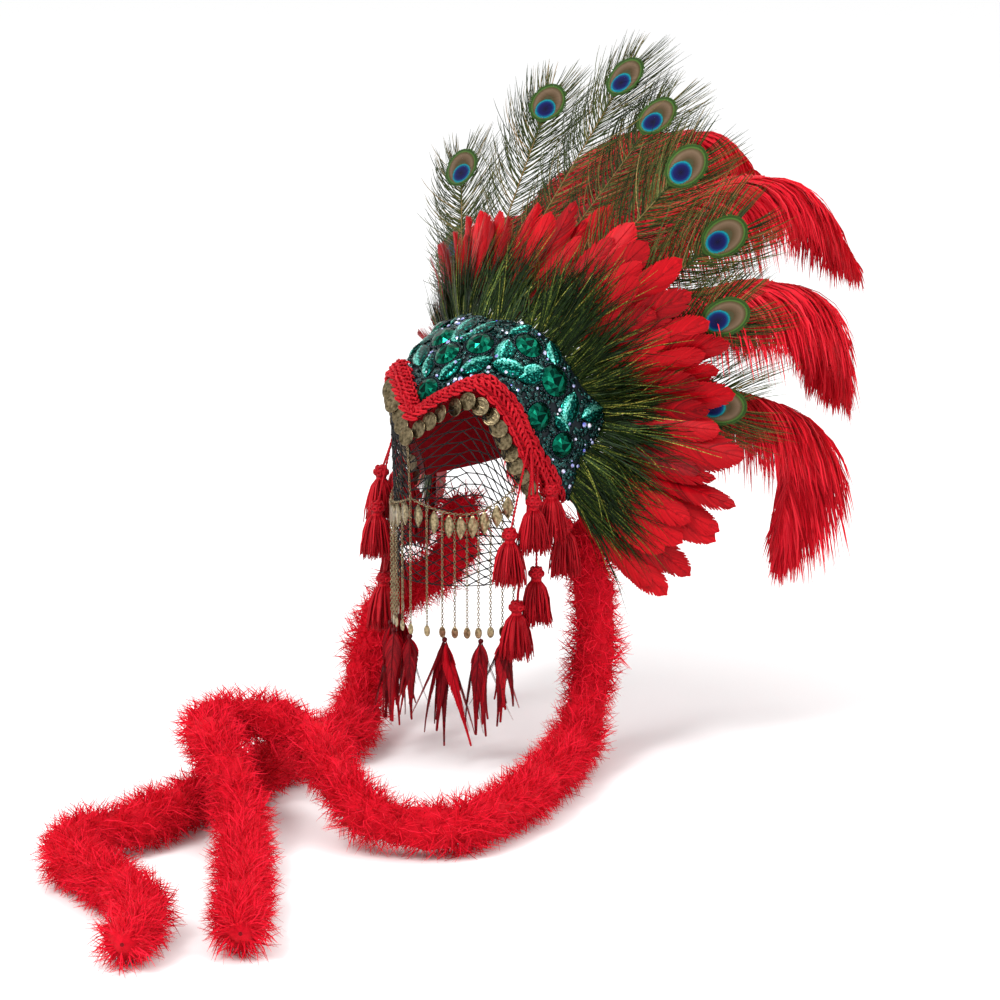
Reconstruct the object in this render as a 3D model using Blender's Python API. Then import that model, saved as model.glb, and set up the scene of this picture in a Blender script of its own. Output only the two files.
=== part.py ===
# Carnival feather headdress: a soft cap with a stiff sequinned band over the brow, a fan of
# herl, goose, peacock and ostrich feathers behind it, a braided face opening hung with coins,
# a net and chain veil, tassels at the cheeks and two long marabou boas.
# Metres, +Z up. The wearer faces -Y and the wearer's left side is +X. The origin is the inner
# crown of the cap, where the head seats. The boas lie on a floor 0.426 m lower.

import math
from collections import namedtuple

import bmesh
import bpy
from mathutils import Vector
from mathutils.bvhtree import BVHTree

# Head space and shared clearances
HEAD_HALF_WIDTH = 0.081
HEAD_HALF_DEPTH = 0.098
HEAD_SETBACK = 0.012
CAP_FRONT_EASE = 0.004
HEAD_HALF_HEIGHT = 0.107
FIT_GAP = 0.0003
SOFT_GAP = 0.0005
CAP_WALL = 0.002
CAP_STANDOFF = 0.0022
CAP_SWEEP_DEG = 115.0

# Sequinned band, with its leaf motifs and glass stones
BAND_WIDTH = 0.100
BAND_WALL = 0.003
BAND_BULGE = 0.004
BAND_CENTRE_BULGE = 0.017
CENTRE_SHARE = 0.12
LEAF_LENGTH = 0.030
LEAF_RELIEF = 0.0022
GEM_DIAMETER = 0.030
GEM_HEIGHT_SHARE = 0.28

# Braid along the face opening
BRAID_WIDTH = 0.024
BRAID_THICKNESS = 0.009
BRAID_ON_BAND = 0.008
BRAID_SCALLOP = 0.0016

# Coins sewn under the braid
COIN_DIAMETER = 0.0195
COIN_THICKNESS = 0.0014
COIN_PITCH = 0.0154
COIN_TUCK = 0.004
COIN_CLEARANCE = 0.0012
COIN_STAGGER = 0.0001
COIN_REACH = 0.07
COIN_END_U = 0.95

# Net veil
NET_THICKNESS = 0.0012
NET_STRAND = 0.0024
NET_EDGE_U = 0.80
NET_COLUMNS = 7
NET_ROWS = 4
NET_BOTTOM_DROP = 0.232
CHIN_HALF_WIDTH = 0.066
CHIN_DEPTH = 0.058
CHIN_SETBACK = 0.036

# Chains in front of the net
CHAIN_DIAMETER = 0.0024
CHAIN_STANDOFF = 0.0032
HANGING_CHAINS_PER_SIDE = 8
CHAIN_END_DROP = 0.285
SWAG_DROP = 0.142
SWAG_SAG = 0.020
CHARM_WIDTH = 0.008
LEAF_DROP_LENGTH = 0.022
LEAF_DROP_WIDTH = 0.008

# Hackle tufts below the chains
TUFT_LENGTH = 0.095
TUFT_WIDTH = 0.026

# Tassels at the cheeks
TASSEL_LENGTH = 0.050
TASSEL_DIAMETER = 0.021
TASSEL_KNOT_DIAMETER = 0.012
TASSEL_LOOP_DIAMETER = 0.002

# Fan feathers
FEATHER_THICKNESS = 0.0013
GOOSE_LENGTH = 0.145
HERL_SHARE = 0.793
HERL_LENGTH = GOOSE_LENGTH * HERL_SHARE
GOOSE_WIDTH = 0.034
GOOSE_COUNT = 18
GOOSE_FRONT_SHARE = 0.84
ROW_START = 0.0012
ROW_SPLIT = 0.038
PEACOCK_EYE_LENGTH = 0.260
PEACOCK_WIDTH = 0.064
PEACOCK_PLATE = 0.0022
QUILL_DIAMETER = 0.0032
OSTRICH_LENGTH = 0.480
OSTRICH_WIDTH = 0.110
OSTRICH_THICKNESS = 0.012

# Marabou boas
BOA_DIAMETER = 0.055

# Station tables hold shares: fx, fy and fz of the head's half width, half depth and half
# height, w of the band width, and unit directions for the band's width and the feathers.
Station = namedtuple("Station", "u fx fy fz w wx wy wz ax ay az")
STATIONS = [
    Station(0.00, 0.000, -0.94, -0.495, 1.27, 0.00, 0.79, 0.61, 0.00, 0.69, 0.72),
    Station(0.12, 0.346, -0.80, -0.308, 1.08, -0.02, 0.83, 0.55, 0.08, 0.68, 0.73),
    Station(0.25, 0.716, -0.59, -0.168, 0.90, -0.06, 0.90, 0.43, 0.32, 0.62, 0.72),
    Station(0.36, 0.914, -0.47, -0.280, 0.85, -0.06, 0.90, 0.43, 0.48, 0.57, 0.67),
    Station(0.48, 1.025, -0.36, -0.449, 0.81, -0.01, 0.89, 0.45, 0.62, 0.53, 0.58),
    Station(0.60, 1.086, -0.23, -0.692, 0.80, 0.06, 0.89, 0.45, 0.73, 0.55, 0.40),
    Station(0.72, 1.136, -0.13, -0.907, 0.89, 0.10, 0.93, 0.36, 0.86, 0.50, 0.05),
    Station(0.82, 1.160, -0.01, -1.047, 0.65, 0.14, 0.93, 0.33, 0.83, 0.47, -0.30),
    Station(0.91, 1.185, 0.08, -1.196, 0.29, 0.16, 0.89, 0.43, 0.68, 0.50, -0.53),
    Station(1.00, 1.210, 0.15, -1.383, 0.05, 0.16, 0.98, -0.08, 0.38, 0.44, -0.81),
]

Gem = namedtuple("Gem", "u v size")
GEMS = [
    Gem(0.0, 0.13, 0.88),
    Gem(0.0, 0.47, 0.93),
    Gem(0.125, 0.55, 0.97),
    Gem(0.29, 0.68, 0.97),
    Gem(0.50, 0.64, 1.10),
    Gem(0.57, 0.17, 0.97),
    Gem(0.745, 0.28, 0.88),
]

Leaf = namedtuple("Leaf", "u v turn size")
LEAVES = [
    Leaf(0.075, 0.25, 40.0, 0.80),
    Leaf(0.175, 0.22, 75.0, 0.95),
    Leaf(0.060, 0.80, 20.0, 0.85),
    Leaf(0.300, 0.25, 60.0, 0.95),
    Leaf(0.400, 0.42, 20.0, 0.95),
    Leaf(0.630, 0.62, -35.0, 0.95),
    Leaf(0.700, 0.84, 10.0, 0.80),
]

# Peacock feathers: u on the fan, eye distance as a share, and which of two layers it lies in
Peacock = namedtuple("Peacock", "name u reach layer")
PEACOCKS = [
    Peacock("right_5", -0.700, 0.50, 0),
    Peacock("right_4", -0.575, 0.76, 1),
    Peacock("right_3", -0.440, 0.93, 0),
    Peacock("right_2", -0.250, 1.12, 1),
    Peacock("right_1", -0.090, 1.25, 0),
    Peacock("left_1", 0.070, 1.12, 1),
    Peacock("left_2", 0.250, 0.88, 0),
    Peacock("left_3", 0.450, 0.78, 1),
    Peacock("left_4", 0.590, 0.62, 0),
    Peacock("left_5", 0.720, 0.46, 1),
]
# Half width and half thickness along a peacock feather, shares of its width and of the plate
PeacockRib = namedtuple("PeacockRib", "at width plate")
PEACOCK_RIBS = [
    PeacockRib(0.00, 0.05, 1.2),
    PeacockRib(0.30, 0.05, 1.1),
    PeacockRib(0.42, 0.26, 1.0),
    PeacockRib(0.62, 0.50, 1.0),
    PeacockRib(0.84, 0.78, 1.0),
    PeacockRib(1.00, 1.00, 1.0),
    PeacockRib(1.10, 0.80, 0.9),
    PeacockRib(1.19, 0.30, 0.6),
]

# Ostrich plumes: u at the base, then three places along the plume as shares of its length
Ostrich = namedtuple("Ostrich", "name u out1 back1 up1 out2 back2 up2 out3 back3 up3")
OSTRICHES = [
    Ostrich("right_3", -0.660, -0.15, 0.24, 0.03, -0.24, 0.42, -0.04, -0.23, 0.42, -0.28),
    Ostrich("right_2", -0.400, -0.16, 0.28, 0.14, -0.24, 0.50, 0.16, -0.26, 0.64, -0.06),
    Ostrich("right_1", -0.170, -0.06, 0.31, 0.20, -0.11, 0.68, 0.32, -0.13, 0.92, 0.18),
    Ostrich("centre", -0.010, 0.01, 0.31, 0.20, 0.02, 0.61, 0.35, 0.03, 0.81, 0.25),
    Ostrich("left_1", 0.160, 0.08, 0.29, 0.18, 0.13, 0.66, 0.26, 0.16, 0.90, 0.06),
    Ostrich("left_2", 0.400, 0.17, 0.27, 0.11, 0.24, 0.48, 0.10, 0.25, 0.62, -0.12),
    Ostrich("left_3", 0.640, 0.12, 0.23, 0.00, 0.22, 0.40, -0.10, 0.20, 0.39, -0.36),
]
OSTRICH_RIBS = (0.03, 0.05, 0.18, 0.66, 0.96, 1.00, 0.92, 0.70, 0.24)

# Tassels of one side: where each hangs from the braid, and its knot from there, in shares
Tassel = namedtuple("Tassel", "u outward forward drop")
TASSELS = [
    Tassel(0.68, 0.27, 0.20, 0.96),
    Tassel(0.64, 0.01, 0.55, 1.78),
    Tassel(0.80, 0.19, -0.10, 0.42),
    Tassel(0.76, 0.10, 0.14, 2.24),
    Tassel(0.71, -0.03, 0.46, 3.08),
    Tassel(0.93, 0.15, -0.25, 0.74),
]

# Boa routes, chosen by hand, in metres
BOA_LEFT_ROUTE = [
    (0.0886, 0.0563, -0.1760), (0.098, 0.064, -0.225), (0.108, 0.062, -0.290), (0.110, 0.052, -0.345),
    (0.132, 0.014, -0.386), (0.172, -0.052, -0.3974), (0.226, -0.148, -0.3974), (0.272, -0.256, -0.3974),
    (0.276, -0.335, -0.3974), (0.214, -0.374, -0.390), (0.136, -0.346, -0.368), (0.074, -0.318, -0.348),
    (0.020, -0.316, -0.338), (-0.018, -0.346, -0.336), (-0.010, -0.390, -0.337), (0.034, -0.416, -0.341),
    (0.084, -0.442, -0.364), (0.134, -0.474, -0.391), (0.204, -0.538, -0.3974), (0.320, -0.650, -0.3974),
    (0.400, -0.728, -0.3974),
]
BOA_RIGHT_ROUTE = [
    (-0.0886, 0.0563, -0.1760), (-0.092, 0.066, -0.215), (-0.104, 0.052, -0.255), (-0.136, 0.012, -0.282),
    (-0.144, -0.014, -0.325), (-0.132, -0.040, -0.372), (-0.104, -0.080, -0.396), (-0.064, -0.136, -0.3982),
    (-0.046, -0.222, -0.3982), (-0.010, -0.326, -0.3982), (0.020, -0.436, -0.3982), (0.046, -0.540, -0.3982),
    (0.044, -0.612, -0.3982), (0.104, -0.668, -0.3982), (0.186, -0.694, -0.3982), (0.270, -0.730, -0.3982),
    (0.346, -0.826, -0.3982),
]


def clear_scene():
    for item in list(bpy.data.objects):
        bpy.data.objects.remove(item, do_unlink=True)


def material(name, colour, roughness, metallic=0.0):
    made = bpy.data.materials.get(name)
    if made is None:
        made = bpy.data.materials.new(name)
        made.use_nodes = True
        shader = made.node_tree.nodes["Principled BSDF"]
        shader.inputs["Base Color"].default_value = (*colour, 1.0)
        shader.inputs["Roughness"].default_value = roughness
        shader.inputs["Metallic"].default_value = metallic
    return made


def red_felt():
    return material("red_felt", (0.45, 0.01, 0.015), 0.9)


def teal_sequin():
    return material("teal_sequin", (0.01, 0.16, 0.14), 0.3, 0.4)


def emerald_glass():
    return material("emerald_glass", (0.01, 0.30, 0.18), 0.08)


def red_thread():
    return material("red_thread", (0.65, 0.01, 0.02), 0.7)


def old_brass():
    return material("old_brass", (0.42, 0.33, 0.16), 0.4, 1.0)


def black_thread():
    return material("black_thread", (0.01, 0.01, 0.01), 0.8)


def red_feather():
    return material("red_feather", (0.70, 0.01, 0.02), 0.8)


def bronze_herl():
    return material("bronze_herl", (0.06, 0.08, 0.02), 0.5)


def peacock_green():
    return material("peacock_green", (0.05, 0.14, 0.06), 0.5)


def add_object(name, mesh, surface):
    mesh.materials.clear()
    mesh.materials.append(surface)
    made = bpy.data.objects.new(name, mesh)
    bpy.context.scene.collection.objects.link(made)
    mesh.shade_smooth()
    mesh.set_sharp_from_angle(angle=math.radians(40.0))
    return made


def mesh_of(name, points, faces):
    mesh = bpy.data.meshes.new(name)
    mesh.from_pydata([tuple(point) for point in points], [], faces)
    builder = bmesh.new()
    builder.from_mesh(mesh)
    bmesh.ops.recalc_face_normals(builder, faces=builder.faces)
    builder.to_mesh(mesh)
    builder.free()
    return mesh


def lofted(name, rings):
    """Closed solid through rings of equal point counts, with flat caps on both ends."""
    count = len(rings[0])
    points = [point for ring in rings for point in ring]
    faces = [tuple(range(count)), tuple(len(points) - 1 - i for i in range(count))]
    for ring in range(len(rings) - 1):
        for i in range(count):
            a = ring * count + i
            b = ring * count + (i + 1) % count
            faces.append((a, b, b + count, a + count))
    return mesh_of(name, points, faces)


def shell(name, front, back):
    """Closed sheet between two grids of points, walled along all four sides."""
    rows = len(front)
    columns = len(front[0])
    points = [p for row in front for p in row] + [p for row in back for p in row]
    behind = rows * columns
    faces = []
    for j in range(rows - 1):
        for i in range(columns - 1):
            a = j * columns + i
            faces.append((a, a + 1, a + 1 + columns, a + columns))
            faces.append((behind + a, behind + a + columns, behind + a + 1 + columns, behind + a + 1))
    top = [i for i in range(columns)]
    bottom = [(rows - 1) * columns + i for i in range(columns)]
    left = [j * columns for j in range(rows)]
    right = [j * columns + columns - 1 for j in range(rows)]
    for edge in (top, bottom, left, right):
        for a, b in zip(edge, edge[1:]):
            faces.append((a, b, b + behind, a + behind))
    return mesh_of(name, points, faces)


def fused(name, meshes):
    """One body from overlapping meshes, by Boolean unions in turn."""
    base = bpy.data.objects.new(name + "_base", meshes[0])
    bpy.context.scene.collection.objects.link(base)
    for mesh in meshes[1:]:
        other = bpy.data.objects.new(name + "_other", mesh)
        bpy.context.scene.collection.objects.link(other)
        union = base.modifiers.new("Union", "BOOLEAN")
        union.operation = "UNION"
        union.solver = "EXACT"
        union.object = other
        bpy.context.view_layer.update()
        scene_now = bpy.context.evaluated_depsgraph_get()
        joined = bpy.data.meshes.new_from_object(base.evaluated_get(scene_now))
        base.modifiers.clear()
        base.data = joined
        bpy.data.objects.remove(other, do_unlink=True)
    result = base.data
    bpy.data.objects.remove(base, do_unlink=True)
    return result


def eased(values, places, at):
    """Smooth value at a place in a table, through a cubic with averaged slopes."""
    last = len(places) - 1
    k = 0
    while k < last - 1 and at > places[k + 1]:
        k += 1
    span = places[k + 1] - places[k]
    t = (at - places[k]) / span

    def slope(i):
        if i == 0:
            return (values[1] - values[0]) / (places[1] - places[0])
        if i == last:
            return (values[last] - values[last - 1]) / (places[last] - places[last - 1])
        return (values[i + 1] - values[i - 1]) / (places[i + 1] - places[i - 1])

    rise = span * slope(k)
    fall = span * slope(k + 1)
    return (
        values[k] * (2 * t**3 - 3 * t**2 + 1) + rise * (t**3 - 2 * t**2 + t)
        + values[k + 1] * (3 * t**2 - 2 * t**3) + fall * (t**3 - t**2)
    )


def column(name, u):
    places = [row.u for row in STATIONS]
    values = [getattr(row, name) for row in STATIONS]
    return eased(values, places, min(abs(u), 1.0))


def sided(u, x, y, z):
    return Vector((math.copysign(1.0, u) * x, y, z))


def brow_edge(u):
    """Line where the braid meets the band."""
    return sided(
        u, column("fx", u) * HEAD_HALF_WIDTH, column("fy", u) * HEAD_HALF_DEPTH, column("fz", u) * HEAD_HALF_HEIGHT
    )


def width_way(u):
    return sided(u, column("wx", u), column("wy", u), column("wz", u)).normalized()


def feather_way(u):
    return sided(u, column("ax", u), column("ay", u), column("az", u)).normalized()


def band_start():
    return BRAID_ON_BAND + FIT_GAP


def rear_edge(u):
    """Rear line of the band, where the feathers stand."""
    return brow_edge(u) + width_way(u) * (band_start() + column("w", u) * BAND_WIDTH)


def along(line, u):
    step = 0.01
    return (line(min(u + step, 1.0)) - line(max(u - step, -1.0))).normalized()


def band_normal(u):
    """Outward direction at the brow edge, turned straight ahead near the middle."""
    out = along(brow_edge, u).cross(width_way(u)).normalized()
    out.x *= min(1.0, abs(u) / CENTRE_SHARE)
    return out.normalized()


def fan_normal(u):
    return along(rear_edge, u).cross(feather_way(u)).normalized()


def edge_point(u, across, out):
    """Point beside the brow edge: across towards the rear, out away from the head."""
    return brow_edge(u) + width_way(u) * across + band_normal(u) * out


def fan_point(u, reach, depth):
    """Point of the fan: reach from the rear edge, depth behind the front of the first row."""
    return rear_edge(u) + feather_way(u) * reach - fan_normal(u) * depth


def spread(first, last, count):
    return [first + (last - first) * i / (count - 1) for i in range(count)]


def smooth_route(points, count):
    """Evenly spread points on a smooth curve through the given ones."""
    route = [Vector(point) for point in points]
    places = [0.0]
    for a, b in zip(route, route[1:]):
        places.append(places[-1] + (b - a).length)
    return [
        Vector([eased([p[k] for p in route], places, at) for k in range(3)])
        for at in spread(0.0, places[-1], count)
    ]


def tube_rings(path, radii, sides, flat=1.0, face=None):
    """Rings round a path; flat squeezes them along the face direction."""
    rings = []
    for k, point in enumerate(path):
        ahead = path[min(k + 1, len(path) - 1)]
        behind = path[max(k - 1, 0)]
        way = (ahead - behind).normalized()
        hint = face if face is not None else Vector((0.0, 1.0, 0.0))
        side = way.cross(hint).normalized()
        normal = side.cross(way).normalized()
        turns = [2 * math.pi * i / sides for i in range(sides)]
        rings.append([
            point + side * (radii[k] * math.cos(t)) + normal * (radii[k] * flat * math.sin(t)) for t in turns
        ])
    return rings


def blade_rings(path, half_widths, half_thicknesses, sideways):
    """Four-cornered rings: both edges, a front ridge and a back ridge."""
    rings = []
    for k, point in enumerate(path):
        ahead = path[min(k + 1, len(path) - 1)]
        behind = path[max(k - 1, 0)]
        way = (ahead - behind).normalized()
        side = (sideways - way * sideways.dot(way)).normalized()
        normal = side.cross(way).normalized()
        rings.append([
            point + side * half_widths[k],
            point + normal * half_thicknesses[k],
            point - side * half_widths[k],
            point - normal * half_thicknesses[k],
        ])
    return rings


CAP_COLUMNS = 23
CAP_BANDS = 6


def cap_point(u, v, inset):
    """Point of the cap: v runs from the hem under the band to the back of the head."""
    halves = (HEAD_HALF_WIDTH, HEAD_HALF_DEPTH - CAP_FRONT_EASE, HEAD_HALF_HEIGHT)
    sizes = [half + CAP_WALL - inset for half in halves]
    hem = edge_point(u, -BRAID_ON_BAND / 2, -BAND_WALL - CAP_STANDOFF - inset)
    share = Vector((hem.x / sizes[0], (hem.y - HEAD_SETBACK) / sizes[1], (hem.z + HEAD_HALF_HEIGHT) / sizes[2]))
    hem_turn = math.atan2(share.x, share.z)
    start = math.acos(-share.y / share.length)

    def dome(angle, turn):
        return Vector((
            sizes[0] * math.sin(turn) * math.sin(angle),
            HEAD_SETBACK - sizes[1] * math.cos(angle),
            -HEAD_HALF_HEIGHT + sizes[2] * math.cos(turn) * math.sin(angle),
        ))

    lift = hem - dome(start, hem_turn)
    turn = hem_turn + (math.radians(CAP_SWEEP_DEG) * u - hem_turn) * v
    return dome(start + (math.pi - start) * v, turn) + lift * (1.0 - v) ** 8


def make_cap():
    places = spread(-1.0, 1.0, CAP_COLUMNS)
    depths = [(j / CAP_BANDS) ** 1.25 for j in range(CAP_BANDS)]
    outer = [[cap_point(u, v, 0.0) for u in places] for v in depths]
    inner = [[cap_point(u, v, CAP_WALL) for u in places] for v in depths]
    points = [p for row in outer for p in row] + [p for row in inner for p in row]
    points += [cap_point(0.0, 1.0, 0.0), cap_point(0.0, 1.0, CAP_WALL)]
    behind = CAP_BANDS * CAP_COLUMNS
    outer_pole = 2 * behind
    inner_pole = 2 * behind + 1
    faces = []
    for j in range(CAP_BANDS - 1):
        for i in range(CAP_COLUMNS - 1):
            a = j * CAP_COLUMNS + i
            faces.append((a, a + 1, a + 1 + CAP_COLUMNS, a + CAP_COLUMNS))
            faces.append((behind + a, behind + a + CAP_COLUMNS, behind + a + 1 + CAP_COLUMNS, behind + a + 1))
    last = (CAP_BANDS - 1) * CAP_COLUMNS
    for i in range(CAP_COLUMNS - 1):
        faces.append((last + i, last + i + 1, outer_pole))
        faces.append((behind + last + i + 1, behind + last + i, inner_pole))
        faces.append((i, i + behind, i + 1 + behind, i + 1))
    for i in (0, CAP_COLUMNS - 1):
        for j in range(CAP_BANDS - 1):
            a = j * CAP_COLUMNS + i
            faces.append((a, a + CAP_COLUMNS, a + CAP_COLUMNS + behind, a + behind))
        faces.append((last + i, outer_pole, inner_pole, last + i + behind))
    add_object("cap", mesh_of("cap", points, faces), red_felt())


BAND_COLUMNS = 37
BAND_BANDS = 3


def band_point(u, v, sink):
    """Point of the band: v runs from the braid to the rear edge, sink goes into the wall."""
    width = column("w", u) * BAND_WIDTH
    centre = max(0.0, 1.0 - abs(u) / 0.35) ** 2
    most = BAND_BULGE + (BAND_CENTRE_BULGE - BAND_BULGE) * centre
    bulge = most * math.sin(math.pi * v) * min(1.0, column("w", u))
    return edge_point(u, band_start() + width * v, bulge - sink)


def band_facing(u, v):
    """Outward direction of the bulged band."""
    step = 0.02
    across = band_point(min(u + step, 1.0), v, 0.0) - band_point(max(u - step, -1.0), v, 0.0)
    back = band_point(u, min(v + step, 1.0), 0.0) - band_point(u, max(v - step, 0.0), 0.0)
    return across.cross(back).normalized()


def band_leaf(leaf, side):
    """Raised pointed leaf on the band, as a lens with two sharp ends."""
    u = side * leaf.u
    centre = band_point(u, leaf.v, 0.0)
    out = band_facing(u, leaf.v)
    long_way = (width_way(u) * math.cos(math.radians(leaf.turn))
                + along(brow_edge, u) * math.sin(math.radians(leaf.turn)) * side).normalized()
    short_way = out.cross(long_way)
    half = LEAF_LENGTH * leaf.size / 2
    outline = [(1.0, 0.0), (0.45, 0.34), (-0.45, 0.34), (-1.0, 0.0), (-0.45, -0.34), (0.45, -0.34)]
    rings = []
    for rise, share in ((-BAND_WALL * 0.7, 1.0), (LEAF_RELIEF, 0.8)):
        rings.append([
            centre + long_way * (x * half * share) + short_way * (y * half * share) + out * rise for x, y in outline
        ])
    return lofted("leaf", rings)


def make_band():
    places = spread(-1.0, 1.0, BAND_COLUMNS)
    rows = spread(0.0, 1.0, BAND_BANDS + 1)
    front = [[band_point(u, v, 0.0) for u in places] for v in rows]
    back = [[band_point(u, v, BAND_WALL) for u in places] for v in rows]
    meshes = [shell("band", front, back)]
    for leaf in LEAVES:
        for side in (-1.0, 1.0):
            meshes.append(band_leaf(leaf, side))
    add_object("sequin_band", fused("sequin_band", meshes), teal_sequin())


def make_gem(name, u, v, size, surface):
    """Round stone seated on the band: flat back, eight-sided girdle, crown facets and table."""
    radius = GEM_DIAMETER * size / 2
    out = band_facing(u, v)
    side = (width_way(u) - out * out.dot(width_way(u))).normalized()
    other = out.cross(side)
    centre = band_point(u, v, 0.0)
    heights = []
    for share in (0.0, 0.4, 0.7, 0.98):
        for turn in spread(0.0, 2 * math.pi, 17):
            way = (side * math.cos(turn) + other * math.sin(turn)) * (radius * share)
            below = surface.ray_cast(centre + way + out * GEM_DIAMETER, -out)[0]
            if below is not None:
                heights.append((below - centre).dot(out))
    base = centre + out * (max(heights) + FIT_GAP)
    height = GEM_DIAMETER * GEM_HEIGHT_SHARE
    rings = []
    for rise, share, twist in ((0.0, 0.96, 0.0), (0.35, 1.0, 0.0), (1.0, 0.58, 0.5)):
        ring = []
        for i in range(8):
            t = 2 * math.pi * (i + twist) / 8
            ring.append(base + (side * math.cos(t) + other * math.sin(t)) * (radius * share) + out * (height * rise))
        rings.append(ring)
    add_object(name, lofted(name, rings), emerald_glass())


def make_gems():
    band = bpy.data.objects["sequin_band"].data
    surface = BVHTree.FromPolygons([v.co for v in band.vertices], [p.vertices for p in band.polygons])
    for k, gem in enumerate(GEMS):
        if gem.u == 0.0:
            make_gem("gem_centre_%d" % (k + 1), gem.u, gem.v, gem.size, surface)
        else:
            make_gem("gem_left_%d" % (k - 1), gem.u, gem.v, gem.size, surface)
            make_gem("gem_right_%d" % (k - 1), -gem.u, gem.v, gem.size, surface)


BRAID_RINGS = 45


def make_braid():
    """Flat looped braid: an oval section whose edge swells and narrows."""
    rings = []
    centre_across = BRAID_ON_BAND - BRAID_WIDTH / 2
    centre_out = BRAID_THICKNESS / 2 - BAND_WALL
    for k, u in enumerate(spread(-1.0, 1.0, BRAID_RINGS)):
        swell = BRAID_SCALLOP * (k % 2)
        half = BRAID_WIDTH / 2 - swell
        ring = []
        for i in range(6):
            t = 2 * math.pi * i / 6
            across = centre_across + half * math.cos(t)
            out = centre_out + BRAID_THICKNESS / 2 * math.sin(t) / math.sin(math.pi / 3)
            ring.append(edge_point(u, across, out))
        rings.append(ring)
    add_object("face_braid", lofted("face_braid", rings), red_thread())


def coin_across():
    return BRAID_ON_BAND - BRAID_WIDTH - COIN_DIAMETER / 2 + COIN_TUCK


def coin_out():
    return -BAND_WALL - COIN_CLEARANCE - COIN_THICKNESS


def coin_centre(u):
    return edge_point(u, coin_across(), coin_out())


def coin_facing(u):
    """Outward direction of a coin, square to the row over its neighbours' width."""
    reach = min(COIN_REACH, abs(u), 1.0 - abs(u)) or COIN_REACH
    chord = coin_centre(u + reach) - coin_centre(u - reach)
    return chord.cross(width_way(u)).normalized()


def coin_places():
    """Places of the coins, about a pitch apart on both sides of the middle one."""
    fine = spread(0.0, COIN_END_U, 600)
    runs = [0.0]
    for a, b in zip(fine, fine[1:]):
        runs.append(runs[-1] + (coin_centre(b) - coin_centre(a)).length)
    count = round(runs[-1] / COIN_PITCH)
    half = []
    for k in range(1, count + 1):
        half.append(next(u for u, run in zip(fine, runs) if run >= runs[-1] * k / count - FIT_GAP))
    return [-u for u in reversed(half)] + [0.0] + half


def make_coins():
    """Coins that overlap their neighbours, every second one a little higher."""
    meshes = []
    for k, u in enumerate(coin_places()):
        stagger = COIN_STAGGER if k % 2 else -COIN_STAGGER
        out = coin_facing(u)
        centre = coin_centre(u) + out * stagger
        side = (width_way(u) - out * width_way(u).dot(out)).normalized()
        other = out.cross(side)
        rings = []
        for rise in (-COIN_THICKNESS / 2, COIN_THICKNESS / 2):
            rings.append([
                centre + out * rise + (side * math.cos(t) + other * math.sin(t)) * (COIN_DIAMETER / 2)
                for t in [2 * math.pi * (i + 0.5) / 10 for i in range(10)]
            ])
        meshes.append(lofted("coin", rings))
    add_object("coin_row", fused("coin_row", meshes), old_brass())


def net_point(a, t, out=0.0):
    """Point of the veil: a runs from cheek to cheek, t from the coins to under the chin."""
    u = a * NET_EDGE_U
    behind_coins = coin_out() - COIN_THICKNESS - COIN_STAGGER - COIN_CLEARANCE - NET_THICKNESS
    top = edge_point(u, coin_across() - COIN_DIAMETER * 0.1, behind_coins)
    turn = math.radians(85.0) * a
    bottom = Vector((
        CHIN_HALF_WIDTH * math.sin(turn), -CHIN_SETBACK - CHIN_DEPTH * math.cos(turn), -NET_BOTTOM_DROP
    ))
    round_way = Vector((math.sin(turn), -math.cos(turn), 0.0))
    return top.lerp(bottom, t) + round_way * out


def make_net():
    """Net of diamonds: staggered rows of four-cornered gaps cut right through."""
    points = []
    faces = []
    index = {}

    def corner(i, j):
        if (i, j) not in index:
            a = -1.0 + i / NET_COLUMNS
            t = j / (2 * NET_ROWS)
            index[(i, j)] = len(points)
            points.append(net_point(a, t, NET_THICKNESS / 2))
            points.append(net_point(a, t, -NET_THICKNESS / 2))
        return index[(i, j)]

    def add_cell(i, j, ring):
        centre = [sum((points[corner(*c) + s] for c in ring), Vector()) / len(ring) for s in (0, 1)]
        span = min((points[corner(*c)] - centre[0]).length for c in ring)
        share = 1.0 - NET_STRAND / span
        start = len(points)
        for c in ring:
            for s in (0, 1):
                points.append(centre[s].lerp(points[corner(*c) + s], share))
        count = len(ring)
        for k in range(count):
            n = (k + 1) % count
            a, b = corner(*ring[k]), corner(*ring[n])
            c, d = start + 2 * k, start + 2 * n
            faces.append((a, b, d, c))
            faces.append((b + 1, a + 1, c + 1, d + 1))
            faces.append((c, d, d + 1, c + 1))

    for j in range(2 * NET_ROWS + 1):
        for i in range(2 * NET_COLUMNS + 1):
            if (i + j) % 2 == 0:
                continue
            ring = [(i, j - 1), (i + 1, j), (i, j + 1), (i - 1, j)]
            if all(0 <= p <= 2 * NET_COLUMNS and 0 <= q <= 2 * NET_ROWS for p, q in ring):
                add_cell(i, j, ring)
                continue
            kept = [(p, q) for p, q in ring if 0 <= p <= 2 * NET_COLUMNS and 0 <= q <= 2 * NET_ROWS]
            if len(kept) == 3:
                lost = [k for k, c in enumerate(ring) if c not in kept][0]
                face = [corner(*c) for c in ring]
                face[lost] = corner(i, j)
                faces.append(tuple(face))
                faces.append(tuple(c + 1 for c in reversed(face)))
    edge_use = {}
    for face in faces:
        for a, b in zip(face, face[1:] + face[:1]):
            key = (min(a, b), max(a, b))
            edge_use[key] = edge_use.get(key, 0) + 1
    rim = [key for key, used in edge_use.items() if used == 1 and key[0] % 2 == 0 and key[1] % 2 == 0]
    for a, b in rim:
        faces.append((a, b, b + 1, a + 1))
    add_object("face_net", mesh_of("face_net", points, faces), black_thread())


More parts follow.
